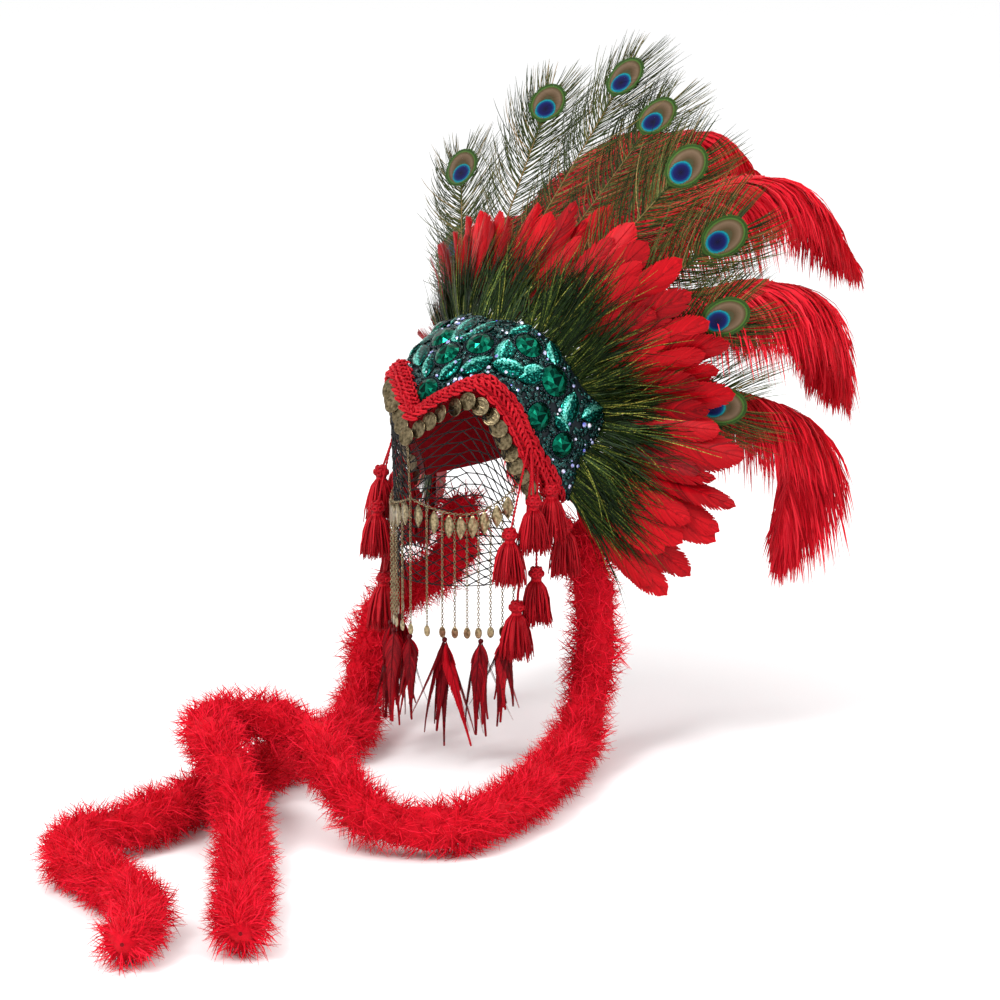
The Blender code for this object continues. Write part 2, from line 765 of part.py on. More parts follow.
# Share of the net's width that the swag spans, how far down the net it is fixed, and the share
# at the middle and at each end that stays free of drops
SWAG_SPAN = 0.97
SWAG_END_SHARE = 0.12
DROP_FREE_SHARE = 0.08
# Where down the net the charms take their facing from
CHARM_FACING_SHARE = 0.5


def swag_point(t):
    """Point of the swag chain: t runs from cheek to cheek, with a raised point at the middle."""
    top = net_point(t * SWAG_SPAN, 0.0)
    bottom = net_point(t * SWAG_SPAN, 1.0)
    end_drop = -net_point(SWAG_SPAN, SWAG_END_SHARE).z
    level = SWAG_DROP + (end_drop - SWAG_DROP) * abs(t) + SWAG_SAG * 4 * abs(t) * (1 - abs(t))
    share = (-level - top.z) / (bottom.z - top.z)
    return net_point(t * SWAG_SPAN, share, CHAIN_STANDOFF)


def leaf_drop(top, long_side):
    """Flat pointed drop under the swag."""
    path = [top + Vector((0, 0, 1)) * CHAIN_DIAMETER * 0.2, top - Vector((0, 0, LEAF_DROP_LENGTH * 0.5)),
            top - Vector((0, 0, LEAF_DROP_LENGTH))]
    widths = [CHAIN_DIAMETER * 0.3, LEAF_DROP_WIDTH / 2, CHAIN_DIAMETER * 0.15]
    thick = [CHAIN_DIAMETER * 0.3, CHAIN_DIAMETER * 0.3, CHAIN_DIAMETER * 0.15]
    return lofted("drop", blade_rings(path, widths, thick, long_side))


def chain_places():
    count = HANGING_CHAINS_PER_SIDE
    return [k / (count + 0.3) for k in range(-count, count + 1)]


def chain_end(t):
    return swag_point(t).z + (-CHAIN_END_DROP - swag_point(t).z) * (1.0 - 0.06 * (round(abs(t) * 50) % 3))


def make_chains():
    """Swag, centre chain, hanging chains with flat charms, and leaf drops, in one body."""
    radius = CHAIN_DIAMETER / 2
    swag = [swag_point(t) for t in spread(-1.0, 1.0, 25)]
    meshes = [lofted("swag", tube_rings(swag, [radius * 1.15] * len(swag), 6, 1.0, Vector((0, 0, 1))))]
    top = net_point(0.0, 0.0, CHAIN_STANDOFF)
    centre_path = [top, swag_point(0.0) - Vector((0, 0, radius * 0.5))]
    meshes.append(lofted("centre", tube_rings(centre_path, [radius] * 2, 6)))
    for t in chain_places():
        start = swag_point(t)
        end = chain_end(t)
        length = start.z - end
        outer = net_point(t * SWAG_SPAN, CHARM_FACING_SHARE, 1.0)
        round_way = (outer - net_point(t * SWAG_SPAN, CHARM_FACING_SHARE)).normalized()
        path = [start - Vector((0, 0, length * share)) for share in (0.0, 0.88, 0.955, 1.0)]
        radii = [radius * 0.95, radius * 0.95, CHARM_WIDTH / 2, radius * 0.4]
        meshes.append(lofted("hanging", tube_rings(path, radii, 5, 0.5, round_way)))
    places = chain_places()
    for a, b in zip(places, places[1:]):
        middle = (a + b) / 2
        if DROP_FREE_SHARE < abs(middle) < 1.0 - DROP_FREE_SHARE:
            side = (swag_point(b) - swag_point(a)).normalized()
            meshes.append(leaf_drop(swag_point(middle), side))
    add_object("chain_veil", fused("chain_veil", meshes), old_brass())


TUFT_PLACES = (-7, -5, -2, 0, 2, 5, 7)


def make_tufts():
    """Hackle tufts, each a knot with three locks, under every second or third chain."""
    for k, place in enumerate(TUFT_PLACES):
        t = chain_places()[place + HANGING_CHAINS_PER_SIDE]
        start = swag_point(t)
        top = Vector((start.x, start.y, chain_end(t) - FIT_GAP))
        length = TUFT_LENGTH * (1.0 + 0.12 * ((k * 2) % 3))
        rows = ((0.0, 0.06, 0.06), (0.12, 0.5, 0.25), (0.45, 1.0, 0.45), (0.75, 0.75, 0.25), (1.0, 0.08, 0.06))
        rings = []
        for down, wide, narrow in rows:
            ring = []
            for i in range(6):
                turn = 2 * math.pi * i / 6 + 0.4 * k
                reach = TUFT_WIDTH / 2 * (wide if i % 2 == 0 else narrow)
                ring.append(top + Vector((math.cos(turn) * reach, math.sin(turn) * reach, -length * down)))
            rings.append(ring)
        add_object("hackle_tuft_%d" % (k + 1), lofted("hackle_tuft", rings), red_feather())


def tassel_mesh(start, knot):
    """Loop, knot, waist and a skirt with six locks, hanging straight down below the knot."""
    down = Vector((0, 0, -1))
    loop = TASSEL_LOOP_DIAMETER / 2
    ball = TASSEL_KNOT_DIAMETER / 2
    skirt = TASSEL_DIAMETER / 2
    waist = knot + down * ball
    rows = [
        (start, loop, loop), (knot - down * ball, loop, loop), (knot, ball, ball), (waist, ball * 0.7, ball * 0.7),
        (waist + down * TASSEL_LENGTH * 0.35, skirt * 0.8, skirt * 0.7), (waist + down * TASSEL_LENGTH, skirt, skirt * 0.85),
    ]
    rings = []
    for centre, wide, narrow in rows:
        ring = []
        for i in range(6):
            turn = 2 * math.pi * i / 6
            reach = wide if i % 2 == 0 else narrow
            ring.append(centre + Vector((math.cos(turn) * reach, math.sin(turn) * reach, 0.0)))
        rings.append(ring)
    return lofted("tassel", rings)


def make_tassels():
    for side, word in ((-1.0, "right"), (1.0, "left")):
        for k, tassel in enumerate(TASSELS):
            out = BRAID_THICKNESS - BAND_WALL + FIT_GAP + TASSEL_LOOP_DIAMETER * 0.8
            start = edge_point(side * tassel.u, BRAID_ON_BAND - BRAID_WIDTH * 0.7, out)
            offset = Vector((side * tassel.outward, -tassel.forward, -tassel.drop)) * TASSEL_LENGTH
            add_object("tassel_%s_%d" % (word, k + 1), tassel_mesh(start, start + offset), red_thread())


def row_depth(row):
    """Depth of the front face of a feather row: 0 herl, 1 and 2 goose, 3 the quills."""
    return FIT_GAP + row * (FEATHER_THICKNESS + SOFT_GAP)


def feather_row(name, count, edge_u, length, width, lean, row, surface, pointed=False):
    """A row of feathers joined at the base: a sheet up to ROW_SPLIT, then separate fingers."""
    points = []
    faces = []
    ends = spread(-edge_u, edge_u, count + 1)
    start = row_depth(row)

    def pair(u, reach):
        depth = start + lean * reach
        points.append(fan_point(u, reach, depth))
        points.append(fan_point(u, reach, depth + FEATHER_THICKNESS))
        return len(points) - 2

    def plate(a, b, c):
        faces.append((a, b, c))
        faces.append((c + 1, b + 1, a + 1))

    def wall(a, b):
        faces.append((a, b, b + 1, a + 1))

    seams = [(pair(u, ROW_START), pair(u, ROW_SPLIT)) for u in ends]
    for k in range(count):
        middle = (ends[k] + ends[k + 1]) / 2
        own = length * (1.0 + 0.06 * math.sin(7.0 * k + row))
        left = list(seams[k])
        right = list(seams[k + 1])
        lines = [left, right]
        if not pointed:
            reach = own * 0.82
            across = (fan_point(ends[k + 1], reach, start) - fan_point(ends[k], reach, start)).length
            half = (ends[k + 1] - ends[k]) / 2 * min(0.94, width / across)
            left.append(pair(middle - half, reach))
            right.append(pair(middle + half, reach))
            lines = [left, [pair(middle, ROW_START), pair(middle, ROW_SPLIT), pair(middle, reach)], right]
        tip = pair(middle, own)
        for a, b in zip(lines, lines[1:]):
            for j in range(len(left) - 1):
                plate(a[j], b[j], b[j + 1])
                plate(a[j], b[j + 1], a[j + 1])
            plate(a[-1], b[-1], tip)
            wall(a[0], b[0])
        for line in (left, right):
            run = line[1:] + [tip]
            for a, b in zip(run, run[1:]):
                wall(a, b)
    wall(*seams[0])
    wall(*seams[-1])
    add_object(name, mesh_of(name, points, faces), surface)


def make_feather_rows():
    inner = 1.0 - 1.0 / GOOSE_COUNT
    front = GOOSE_LENGTH * GOOSE_FRONT_SHARE
    feather_row("herl_fringe", GOOSE_COUNT * 2, 1.0, HERL_LENGTH, 0.0, -0.12, 0, bronze_herl(), pointed=True)
    feather_row("goose_front", GOOSE_COUNT, 1.0, front, GOOSE_WIDTH, -0.06, 1, red_feather())
    feather_row("goose_rear", GOOSE_COUNT - 1, inner, GOOSE_LENGTH, GOOSE_WIDTH, -0.02, 2, red_feather())


def make_peacocks():
    """Peacock feathers: a bare quill that widens into the loose herl and the eye."""
    start = row_depth(3) + PEACOCK_PLATE * 0.6
    for feather in PEACOCKS:
        length = PEACOCK_EYE_LENGTH * feather.reach
        lean = 0.04 + 0.05 * feather.layer
        path = []
        for rib in PEACOCK_RIBS:
            reach = FIT_GAP + QUILL_DIAMETER / 2 + length * rib.at
            path.append(fan_point(feather.u, reach, start + lean * reach))
        widths = [max(PEACOCK_WIDTH / 2 * rib.width, QUILL_DIAMETER / 2) for rib in PEACOCK_RIBS]
        thick = [PEACOCK_PLATE / 2 * rib.plate for rib in PEACOCK_RIBS]
        sideways = along(rear_edge, feather.u)
        name = "peacock_" + feather.name
        add_object(name, lofted(name, blade_rings(path, widths, thick, sideways)), peacock_green())


def make_ostriches():
    """Ostrich plumes: a thin quill, then a thick drooping vane."""
    start = row_depth(3) + QUILL_DIAMETER / 2
    for plume in OSTRICHES:
        base = fan_point(plume.u, FIT_GAP + QUILL_DIAMETER / 2, start)
        places = [base, fan_point(plume.u, GOOSE_LENGTH * 0.5, start + OSTRICH_THICKNESS * 1.8)]
        for k in ("1", "2", "3"):
            offset = Vector([getattr(plume, word + k) for word in ("out", "back", "up")]) * OSTRICH_LENGTH
            places.append(base + offset)
        path = smooth_route(places, len(OSTRICH_RIBS))
        widths = [max(OSTRICH_WIDTH / 2 * share, QUILL_DIAMETER / 2) for share in OSTRICH_RIBS]
        thick = [max(OSTRICH_THICKNESS / 2 * share, QUILL_DIAMETER / 2) for share in OSTRICH_RIBS]
        rings = []
        for k, point in enumerate(path):
            way = (path[min(k + 1, len(path) - 1)] - path[max(k - 1, 0)]).normalized()
            side = (Vector((1.0, 0.0, 0.0)) - way * way.x).normalized()
            normal = side.cross(way).normalized()
            ring = []
            for i in range(6):
                t = 2 * math.pi * i / 6
                ring.append(point + side * (widths[k] * math.cos(t)) + normal * (thick[k] * math.sin(t)))
            rings.append(ring)
        name = "ostrich_" + plume.name
        add_object(name, lofted(name, rings), red_feather())


BOA_POINTS = 34


def make_boa(name, route):
    """Boa as one smooth tube of its full length, with filled ends."""
    curve = bpy.data.curves.new(name, "CURVE")
    curve.dimensions = "3D"
    curve.bevel_depth = BOA_DIAMETER / 2
    curve.bevel_resolution = 2
    curve.use_fill_caps = True
    line = smooth_route(route, BOA_POINTS)
    spline = curve.splines.new("POLY")
    spline.points.add(len(line) - 1)
    for spot, point in zip(spline.points, line):
        spot.co = (*point, 1.0)
    curve.materials.append(red_feather())
    made = bpy.data.objects.new(name, curve)
    bpy.context.scene.collection.objects.link(made)


clear_scene()
make_cap()
make_band()
make_gems()
make_braid()
make_coins()
make_net()
make_chains()
make_tufts()
make_tassels()
make_feather_rows()
make_peacocks()
make_ostriches()
make_boa("boa_left", BOA_LEFT_ROUTE)
make_boa("boa_right", BOA_RIGHT_ROUTE)
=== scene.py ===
# %% [markdown]
# The whole piece is a carnival headdress: a felt cap, a hard sequinned band, a fan of feathers,
# a braid hung with coins, a veil of net and chain, tassels and two long marabou boas.
# Feathers could be made with hair systems or with cards that hold a picture. Here every barb is
# a thin ribbon of real faces, made in bulk with numpy, because it keeps its shape from all sides.

# %% Load the frame
import math
import bpy
import numpy as np
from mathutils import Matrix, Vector


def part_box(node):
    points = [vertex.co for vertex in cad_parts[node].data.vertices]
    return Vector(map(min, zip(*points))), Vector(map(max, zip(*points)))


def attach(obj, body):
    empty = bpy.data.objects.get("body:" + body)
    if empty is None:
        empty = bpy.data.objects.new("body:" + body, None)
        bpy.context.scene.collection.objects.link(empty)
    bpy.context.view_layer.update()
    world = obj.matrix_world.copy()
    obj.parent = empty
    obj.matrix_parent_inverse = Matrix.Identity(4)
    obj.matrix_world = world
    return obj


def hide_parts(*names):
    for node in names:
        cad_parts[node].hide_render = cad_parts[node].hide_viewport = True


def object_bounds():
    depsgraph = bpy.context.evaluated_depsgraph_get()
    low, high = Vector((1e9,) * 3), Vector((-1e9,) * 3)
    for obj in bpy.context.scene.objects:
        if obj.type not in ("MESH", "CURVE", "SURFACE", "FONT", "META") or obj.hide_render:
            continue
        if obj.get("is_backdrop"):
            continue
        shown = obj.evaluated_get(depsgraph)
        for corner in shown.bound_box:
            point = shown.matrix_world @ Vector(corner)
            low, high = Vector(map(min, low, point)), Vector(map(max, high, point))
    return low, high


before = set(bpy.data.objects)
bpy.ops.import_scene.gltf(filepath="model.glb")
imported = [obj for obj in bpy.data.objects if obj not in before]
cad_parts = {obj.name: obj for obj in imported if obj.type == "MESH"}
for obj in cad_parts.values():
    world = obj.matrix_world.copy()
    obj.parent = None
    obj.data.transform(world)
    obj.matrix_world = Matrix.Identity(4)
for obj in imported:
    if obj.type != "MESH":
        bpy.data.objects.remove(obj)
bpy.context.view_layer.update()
print("solids", len(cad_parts))

# %% [markdown]
# A product photo of a hat is taken from far away with a long lens, so its shape isn't distorted.
# The camera could be placed by eye. Here it is solved once from the head that wore the piece and
# written as a place and three directions.

# %% Camera
def placed(name, data):
    """A new object in the scene."""
    made = bpy.data.objects.new(name, data)
    bpy.context.scene.collection.objects.link(made)
    return made


azimuth, pitch = math.radians(44.0), math.radians(12.0)
distance, focal_px, picture_px, sensor_mm = 6.0, 5760.0, 1000.0, 36.0
# the middle of the picture, in pixels from where the head's middle is seen
aim_right_px, aim_down_px = 20.0, 150.0
right = Vector((math.cos(azimuth), math.sin(azimuth), 0.0))
back = Vector((math.sin(azimuth) * math.cos(pitch), -math.cos(azimuth) * math.cos(pitch), math.sin(pitch)))
up = back.cross(right)
camera_data = bpy.data.cameras.new("camera")
camera_data.sensor_width = sensor_mm
camera_data.lens = focal_px / picture_px * sensor_mm
camera = placed("camera", camera_data)
aim = right * (aim_right_px / focal_px * distance) - up * (aim_down_px / focal_px * distance)
camera.location = back * distance + aim
camera.rotation_mode = "QUATERNION"
camera.rotation_quaternion = back.to_track_quat("Z", "Y")
bpy.context.scene.camera = camera
print("camera", [round(c, 3) for c in camera.location])

# %% [markdown]
# Thousands of barbs, links and sequins need the same few moves. Each could be an object of its
# own, but that is slow. A sheaf gathers points and faces in arrays, and makes one mesh of them.
# It also stores how far along its strand a point is, and a random tone, for the materials.

# %% Sheaf of faces
def unit(a):
    return a / np.maximum(np.linalg.norm(a, axis=-1, keepdims=True), 1e-12)


def round_angles(count):
    return 2 * np.pi * np.arange(count) / count


def ellipse(turn, x_radius, y_radius, height=0.0):
    """A flat ring of points, one for each angle."""
    return np.stack([np.cos(turn) * x_radius, np.sin(turn) * y_radius, np.zeros(len(turn)) + height], axis=1)


def ring_quads(rings, sides):
    """Faces between rings of points that close round."""
    index = np.arange(rings * sides).reshape(rings, sides)
    ahead = np.roll(index, -1, axis=1)
    return np.stack([index[:-1], ahead[:-1], ahead[1:], index[1:]], axis=-1).reshape(-1, 4)


def run_along(line):
    """Distance from the start of a line to each of its points."""
    return np.concatenate([[0.0], np.cumsum(np.linalg.norm(np.diff(line, axis=0), axis=1))])


class Sheaf:
    def __init__(self):
        self.points, self.quads, self.tris, self.tone, self.reach = [], [], [], [], []
        self.count = 0

    def add(self, points, quads=None, tris=None, tone=0.5, reach=0.5):
        points = np.asarray(points, float).reshape(-1, 3)
        for faces, kept, corners in ((quads, self.quads, 4), (tris, self.tris, 3)):
            if faces is not None:
                kept.append(np.asarray(faces).reshape(-1, corners) + self.count)
        for value, kept in ((tone, self.tone), (reach, self.reach)):
            value = np.asarray(value, float)
            kept.append(np.broadcast_to(value.ravel() if value.ndim else value, len(points)))
        self.points.append(points)
        self.count += len(points)

    def make(self, name, surface, nodes=(), smooth=True):
        points = np.concatenate(self.points)
        quads = np.concatenate(self.quads) if self.quads else np.zeros((0, 4), int)
        tris = np.concatenate(self.tris) if self.tris else np.zeros((0, 3), int)
        corners = np.concatenate([quads.ravel(), tris.ravel()])
        starts = np.concatenate([np.arange(len(quads)) * 4, quads.size + np.arange(len(tris)) * 3])
        mesh = bpy.data.meshes.new(name)
        mesh.vertices.add(len(points))
        mesh.vertices.foreach_set("co", points.astype(np.float32).ravel())
        mesh.loops.add(len(corners))
        mesh.loops.foreach_set("vertex_index", corners.astype(np.int32))
        mesh.polygons.add(len(starts))
        mesh.polygons.foreach_set("loop_start", starts.astype(np.int32))
        mesh.update(calc_edges=True)
        mesh.polygons.foreach_set("use_smooth", np.full(len(starts), smooth))
        for key, values in (("tone", self.tone), ("reach", self.reach)):
            attribute = mesh.attributes.new(key, "FLOAT", "POINT")
            attribute.data.foreach_set("value", np.concatenate(values).astype(np.float32))
        mesh.materials.append(surface)
        piece = placed(name, mesh)
        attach(piece, "root")
        if nodes:
            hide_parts(*nodes)
        print(name, "triangles", 2 * len(quads) + len(tris))
        return piece


# %% Ribbons, tubes and stamped copies
def strand_values(tone, n, k, corners):
    """Tone and reach at the points of n strands with k steps."""
    tones = np.broadcast_to(np.asarray(tone, float).reshape(-1, 1, 1), (n, k, corners))
    return tones, np.broadcast_to(np.linspace(0, 1, k)[None, :, None], (n, k, corners))


def ribbons(sheaf, paths, widths, facing, tone=0.5):
    """Flat strands: paths is (n, k, 3), widths (k,) or (n, k), facing one or n directions."""
    n, k = paths.shape[:2]
    facing = np.asarray(facing, float)
    facing = facing[:, None, :] if facing.ndim == 2 else facing
    side = unit(np.cross(np.gradient(paths, axis=1), np.broadcast_to(facing, paths.shape)))
    half = (np.broadcast_to(widths, (n, k)) / 2)[..., None]
    index = np.arange(n * k * 2).reshape(n, k, 2)
    quads = np.stack([index[:, :-1, 0], index[:, :-1, 1], index[:, 1:, 1], index[:, 1:, 0]], axis=-1)
    edges = np.stack([paths - side * half, paths + side * half], axis=2)
    sheaf.add(edges, quads, None, *strand_values(tone, n, k, 2))


def tubes(sheaf, paths, radii, sides=6, hint=(0.0, 0.0, 1.0), tone=0.5):
    """Round strands with closed ends; radii is (k,) or (n, k)."""
    n, k = paths.shape[:2]
    way = unit(np.gradient(paths, axis=1))
    side = unit(np.cross(way, np.broadcast_to(np.asarray(hint, float), paths.shape)))
    other = np.cross(side, way)
    turn = round_angles(sides)[:, None]
    ring = side[:, :, None] * np.cos(turn) + other[:, :, None] * np.sin(turn)
    points = paths[:, :, None] + ring * np.broadcast_to(radii, (n, k))[..., None, None]
    index = np.arange(n * k * sides).reshape(n, k, sides)
    ahead = np.roll(index, -1, axis=2)
    quads = np.stack([index[:, :-1], ahead[:, :-1], ahead[:, 1:], index[:, 1:]], axis=-1)
    hub, rim = np.zeros(sides - 2, int), np.arange(1, sides - 1)
    first, last = index[:, 0], index[:, -1]
    caps = [np.stack([first[:, hub], first[:, rim + 1], first[:, rim]], axis=-1),
            np.stack([last[:, hub], last[:, rim], last[:, rim + 1]], axis=-1)]
    sheaf.add(points, quads, np.concatenate(caps), *strand_values(tone, n, k, sides))


def stamp(sheaf, shape, places, x, y, z, scale=1.0, tone=0.5):
    """Copies of a small shape (points, quads, tris) at n places with their own axes."""
    points, quads, tris = shape
    n, m = len(places), len(points)
    x, y, z = (np.broadcast_to(np.asarray(a, float), (n, 3))[:, None] for a in (x, y, z))
    moved = points[:, :1] * x + points[:, 1:2] * y + points[:, 2:] * z
    moved = places[:, None] + moved * np.broadcast_to(scale, (n,))[:, None, None]
    shift = (np.arange(n) * m)[:, None, None]
    quads, tris = (None if faces is None else faces + shift for faces in (quads, tris))
    reach = np.linalg.norm(points[:, :2], axis=1) / max(1e-9, np.abs(points[:, :2]).max())
    sheaf.add(moved, quads, tris, np.repeat(np.broadcast_to(tone, (n,)), m), np.tile(reach, n))


upright = ((1, 0, 0), (0, 1, 0), (0, 0, 1))


def turned(profile, sides, lobes=0, lobe_depth=0.0):
    """Round shape from (radius, height) pairs, first and last at the axis."""
    turn = round_angles(sides)
    swell = 1.0 + lobe_depth * np.cos(lobes * turn)
    rings = [ellipse(turn, radius * swell, radius * swell, height) for radius, height in profile]
    return np.concatenate(rings), ring_quads(len(profile), sides), None


# %% [markdown]
# The real maker starts from a head: the brow line is marked on it, and everything is laid out
# from that line. The same table of stations drives every piece here, so that the band, braid,
# coins and feathers stay on the solids. Lengths in the table are shares of the head's sizes.

# %% Head sizes and stations along the brow
head_half_width, head_half_depth, head_half_height = 0.081, 0.098, 0.107
fit_gap, soft_gap, wall = 0.0003, 0.0005, 0.003
band_width, band_bulge, centre_bulge, centre_share = 0.100, 0.004, 0.017, 0.12
braid_on_band, braid_width, braid_thickness = 0.008, 0.024, 0.009
#    u     fx     fy      fz      w     wx    wy    wz    ax    ay    az
STATIONS = np.array([
    (0.00, 0.000, -0.94, -0.495, 1.27, 0.00, 0.79, 0.61, 0.00, 0.69, 0.72),
    (0.12, 0.346, -0.80, -0.308, 1.08, -0.02, 0.83, 0.55, 0.08, 0.68, 0.73),
    (0.25, 0.716, -0.59, -0.168, 0.90, -0.06, 0.90, 0.43, 0.32, 0.62, 0.72),
    (0.36, 0.914, -0.47, -0.280, 0.85, -0.06, 0.90, 0.43, 0.48, 0.57, 0.67),
    (0.48, 1.025, -0.36, -0.449, 0.81, -0.01, 0.89, 0.45, 0.62, 0.53, 0.58),
    (0.60, 1.086, -0.23, -0.692, 0.80, 0.06, 0.89, 0.45, 0.73, 0.55, 0.40),
    (0.72, 1.136, -0.13, -0.907, 0.89, 0.10, 0.93, 0.36, 0.86, 0.50, 0.05),
    (0.82, 1.160, -0.01, -1.047, 0.65, 0.14, 0.93, 0.33, 0.83, 0.47, -0.30),
    (0.91, 1.185, 0.08, -1.196, 0.29, 0.16, 0.89, 0.43, 0.68, 0.50, -0.53),
    (1.00, 1.210, 0.15, -1.383, 0.05, 0.16, 0.98, -0.08, 0.38, 0.44, -0.81),
])


# %% Smooth values between the stations
def eased(values, places, at):
    """Smooth curve through a table, for an array of places."""
    values, at = np.asarray(values, float), np.atleast_1d(at)
    slopes = np.empty_like(values)
    gap = np.diff(places).reshape((-1,) + (1,) * (values.ndim - 1))
    slopes[0], slopes[-1] = (values[1] - values[0]) / gap[0], (values[-1] - values[-2]) / gap[-1]
    slopes[1:-1] = (values[2:] - values[:-2]) / (gap[1:] + gap[:-1])
    k = np.clip(np.searchsorted(places, at, side="left") - 1, 0, len(places) - 2)
    span = places[k + 1] - places[k]
    t = ((at - places[k]) / span).reshape((-1,) + (1,) * (values.ndim - 1))
    span = span.reshape(t.shape)
    return (values[k] * (2 * t**3 - 3 * t**2 + 1) + span * slopes[k] * (t**3 - 2 * t**2 + t)
            + values[k + 1] * (3 * t**2 - 2 * t**3) + span * slopes[k + 1] * (t**3 - t**2))


def stations(u, first, last):
    """Three columns of the table as points or directions, mirrored for the right side."""
    rows = eased(STATIONS[:, first:last], STATIONS[:, 0], np.minimum(np.abs(u), 1.0))
    rows[:, 0] = np.where(u < 0, -rows[:, 0], rows[:, 0])
    return rows


def brow_edge(u):
    return stations(np.atleast_1d(u), 1, 4) * (head_half_width, head_half_depth, head_half_height)


def width_way(u):
    return unit(stations(np.atleast_1d(u), 5, 8))


def feather_way(u):
    return unit(stations(np.atleast_1d(u), 8, 11))


def band_share(u):
    return eased(STATIONS[:, 4], STATIONS[:, 0], np.minimum(np.abs(np.atleast_1d(u)), 1.0))


def rear_edge(u):
    return brow_edge(u) + width_way(u) * (braid_on_band + fit_gap + band_share(u) * band_width)[:, None]


def along(line, u, step=0.01):
    u = np.atleast_1d(u)
    return unit(line(np.minimum(u + step, 1.0)) - line(np.maximum(u - step, -1.0)))


def band_normal(u):
    u = np.atleast_1d(u)
    out = unit(np.cross(along(brow_edge, u), width_way(u)))
    out[:, 0] *= np.minimum(1.0, np.abs(u) / centre_share)
    return unit(out)


def edge_point(u, across, out):
    """A point of the brow line, moved across the band and outward."""
    u = np.atleast_1d(u)
    moved = width_way(u) * np.reshape(across, (-1, 1)) + band_normal(u) * np.reshape(out, (-1, 1))
    return brow_edge(u) + moved


def band_point(u, v, sink=0.0):
    """Surface of the band: v from the braid to the feathers, sink into the wall."""
    u, v = np.broadcast_arrays(np.atleast_1d(u).astype(float), v)
    share = band_share(u)
    centre = np.maximum(0.0, 1.0 - np.abs(u) / 0.35) ** 2
    bulge = (band_bulge + (centre_bulge - band_bulge) * centre) * np.sin(np.pi * v) * np.minimum(1.0, share)
    return edge_point(u, braid_on_band + fit_gap + share * band_width * v, bulge - sink)


def band_facing(u, v, step=0.02):
    u, v = np.broadcast_arrays(np.atleast_1d(u).astype(float), v)
    across = band_point(np.minimum(u + step, 1), v) - band_point(np.maximum(u - step, -1), v)
    rear = band_point(u, np.minimum(v + step, 1)) - band_point(u, np.maximum(v - step, 0))
    return unit(np.cross(across, rear))


def fan_frame(u):
    """Start, feather direction, sideways and outward direction at places along the fan."""
    u = np.atleast_1d(u)
    side, way = along(rear_edge, u), feather_way(u)
    return rear_edge(u), way, side, unit(np.cross(side, way))


def fan_places(shares, reach):
    """Places u for shares -1..1 of the fan's length, measured at a reach from the band."""
    fine = np.linspace(-1, 1, 801)
    run = run_along(rear_edge(fine) + feather_way(fine) * reach)
    return np.interp((np.asarray(shares) + 1) / 2 * run[-1], run, fine)


print("brow line", round(float(run_along(brow_edge(np.linspace(-1, 1, 200)))[-1]), 3), "m")


# %% [markdown]
# Dyed feathers have no gloss, a soft sheen, and a colour that changes from barb to barb. One
# Principled shader with a colour ramp on the stored tone gives that, with fine noise on top.
# The same recipe with other colours serves for the herl, the threads and the down.

# %% Materials for strands
def shader_of(name, roughness=0.6, metallic=0.0):
    surface = bpy.data.materials.new(name)
    surface.use_nodes = True
    shader = surface.node_tree.nodes["Principled BSDF"]
    shader.inputs["Roughness"].default_value = roughness
    shader.inputs["Metallic"].default_value = metallic
    shader.inputs["Specular IOR Level"].default_value = 0.3
    return surface, shader


def node(surface, kind, **values):
    made = surface.node_tree.nodes.new(kind)
    for key, value in values.items():
        setattr(made, key, value)
    return made


def noise_of(surface, scale, detail):
    place = node(surface, "ShaderNodeTexCoord")
    noise = node(surface, "ShaderNodeTexNoise")
    noise.inputs["Scale"].default_value = scale
    noise.inputs["Detail"].default_value = detail
    surface.node_tree.links.new(place.outputs["Object"], noise.inputs["Vector"])
    return noise.outputs["Fac"]


def colour_from(surface, shader, value, stops):
    """Base colour by a value, from rows of place, red, green and blue."""
    made = node(surface, "ShaderNodeValToRGB")
    elements = made.color_ramp.elements
    while len(elements) < len(stops):
        elements.new(0.5)
    for element, (at, *colour) in zip(elements, stops):
        element.position = at
        element.color = (*colour, 1.0)
    surface.node_tree.links.new(value, made.inputs["Fac"])
    surface.node_tree.links.new(made.outputs["Color"], shader.inputs["Base Color"])


def bump_from(surface, shader, value, distance, strength=1.0):
    bump = node(surface, "ShaderNodeBump")
    bump.inputs["Strength"].default_value = strength
    bump.inputs["Distance"].default_value = distance
    surface.node_tree.links.new(value, bump.inputs["Height"])
    surface.node_tree.links.new(bump.outputs["Normal"], shader.inputs["Normal"])


def strand_material(name, stops, key="tone", roughness=0.6, sheen=0.4, sheen_tint=(1, 1, 1),
                    grain=900.0, depth=0.35, metallic=0.0):
    """Colour from a stored value plus fine noise, with sheen and a grain bump."""
    surface, shader = shader_of(name, roughness, metallic)
    link = surface.node_tree.links.new
    stored = node(surface, "ShaderNodeAttribute", attribute_name=key)
    noise = noise_of(surface, grain, 2.0)
    mixed = node(surface, "ShaderNodeMath", operation="MULTIPLY_ADD")
    mixed.inputs[1].default_value = depth
    link(noise, mixed.inputs[0])
    link(stored.outputs["Fac"], mixed.inputs[2])
    shifted = node(surface, "ShaderNodeMath", operation="SUBTRACT")
    shifted.inputs[1].default_value = depth / 2
    link(mixed.outputs[0], shifted.inputs[0])
    colour_from(surface, shader, shifted.outputs[0], stops)
    bump_from(surface, shader, noise, 0.0004, 0.25)
    shader.inputs["Specular IOR Level"].default_value = 0.12
    shader.inputs["Sheen Weight"].default_value = sheen
    shader.inputs["Sheen Tint"].default_value = (*sheen_tint, 1.0)
    return surface


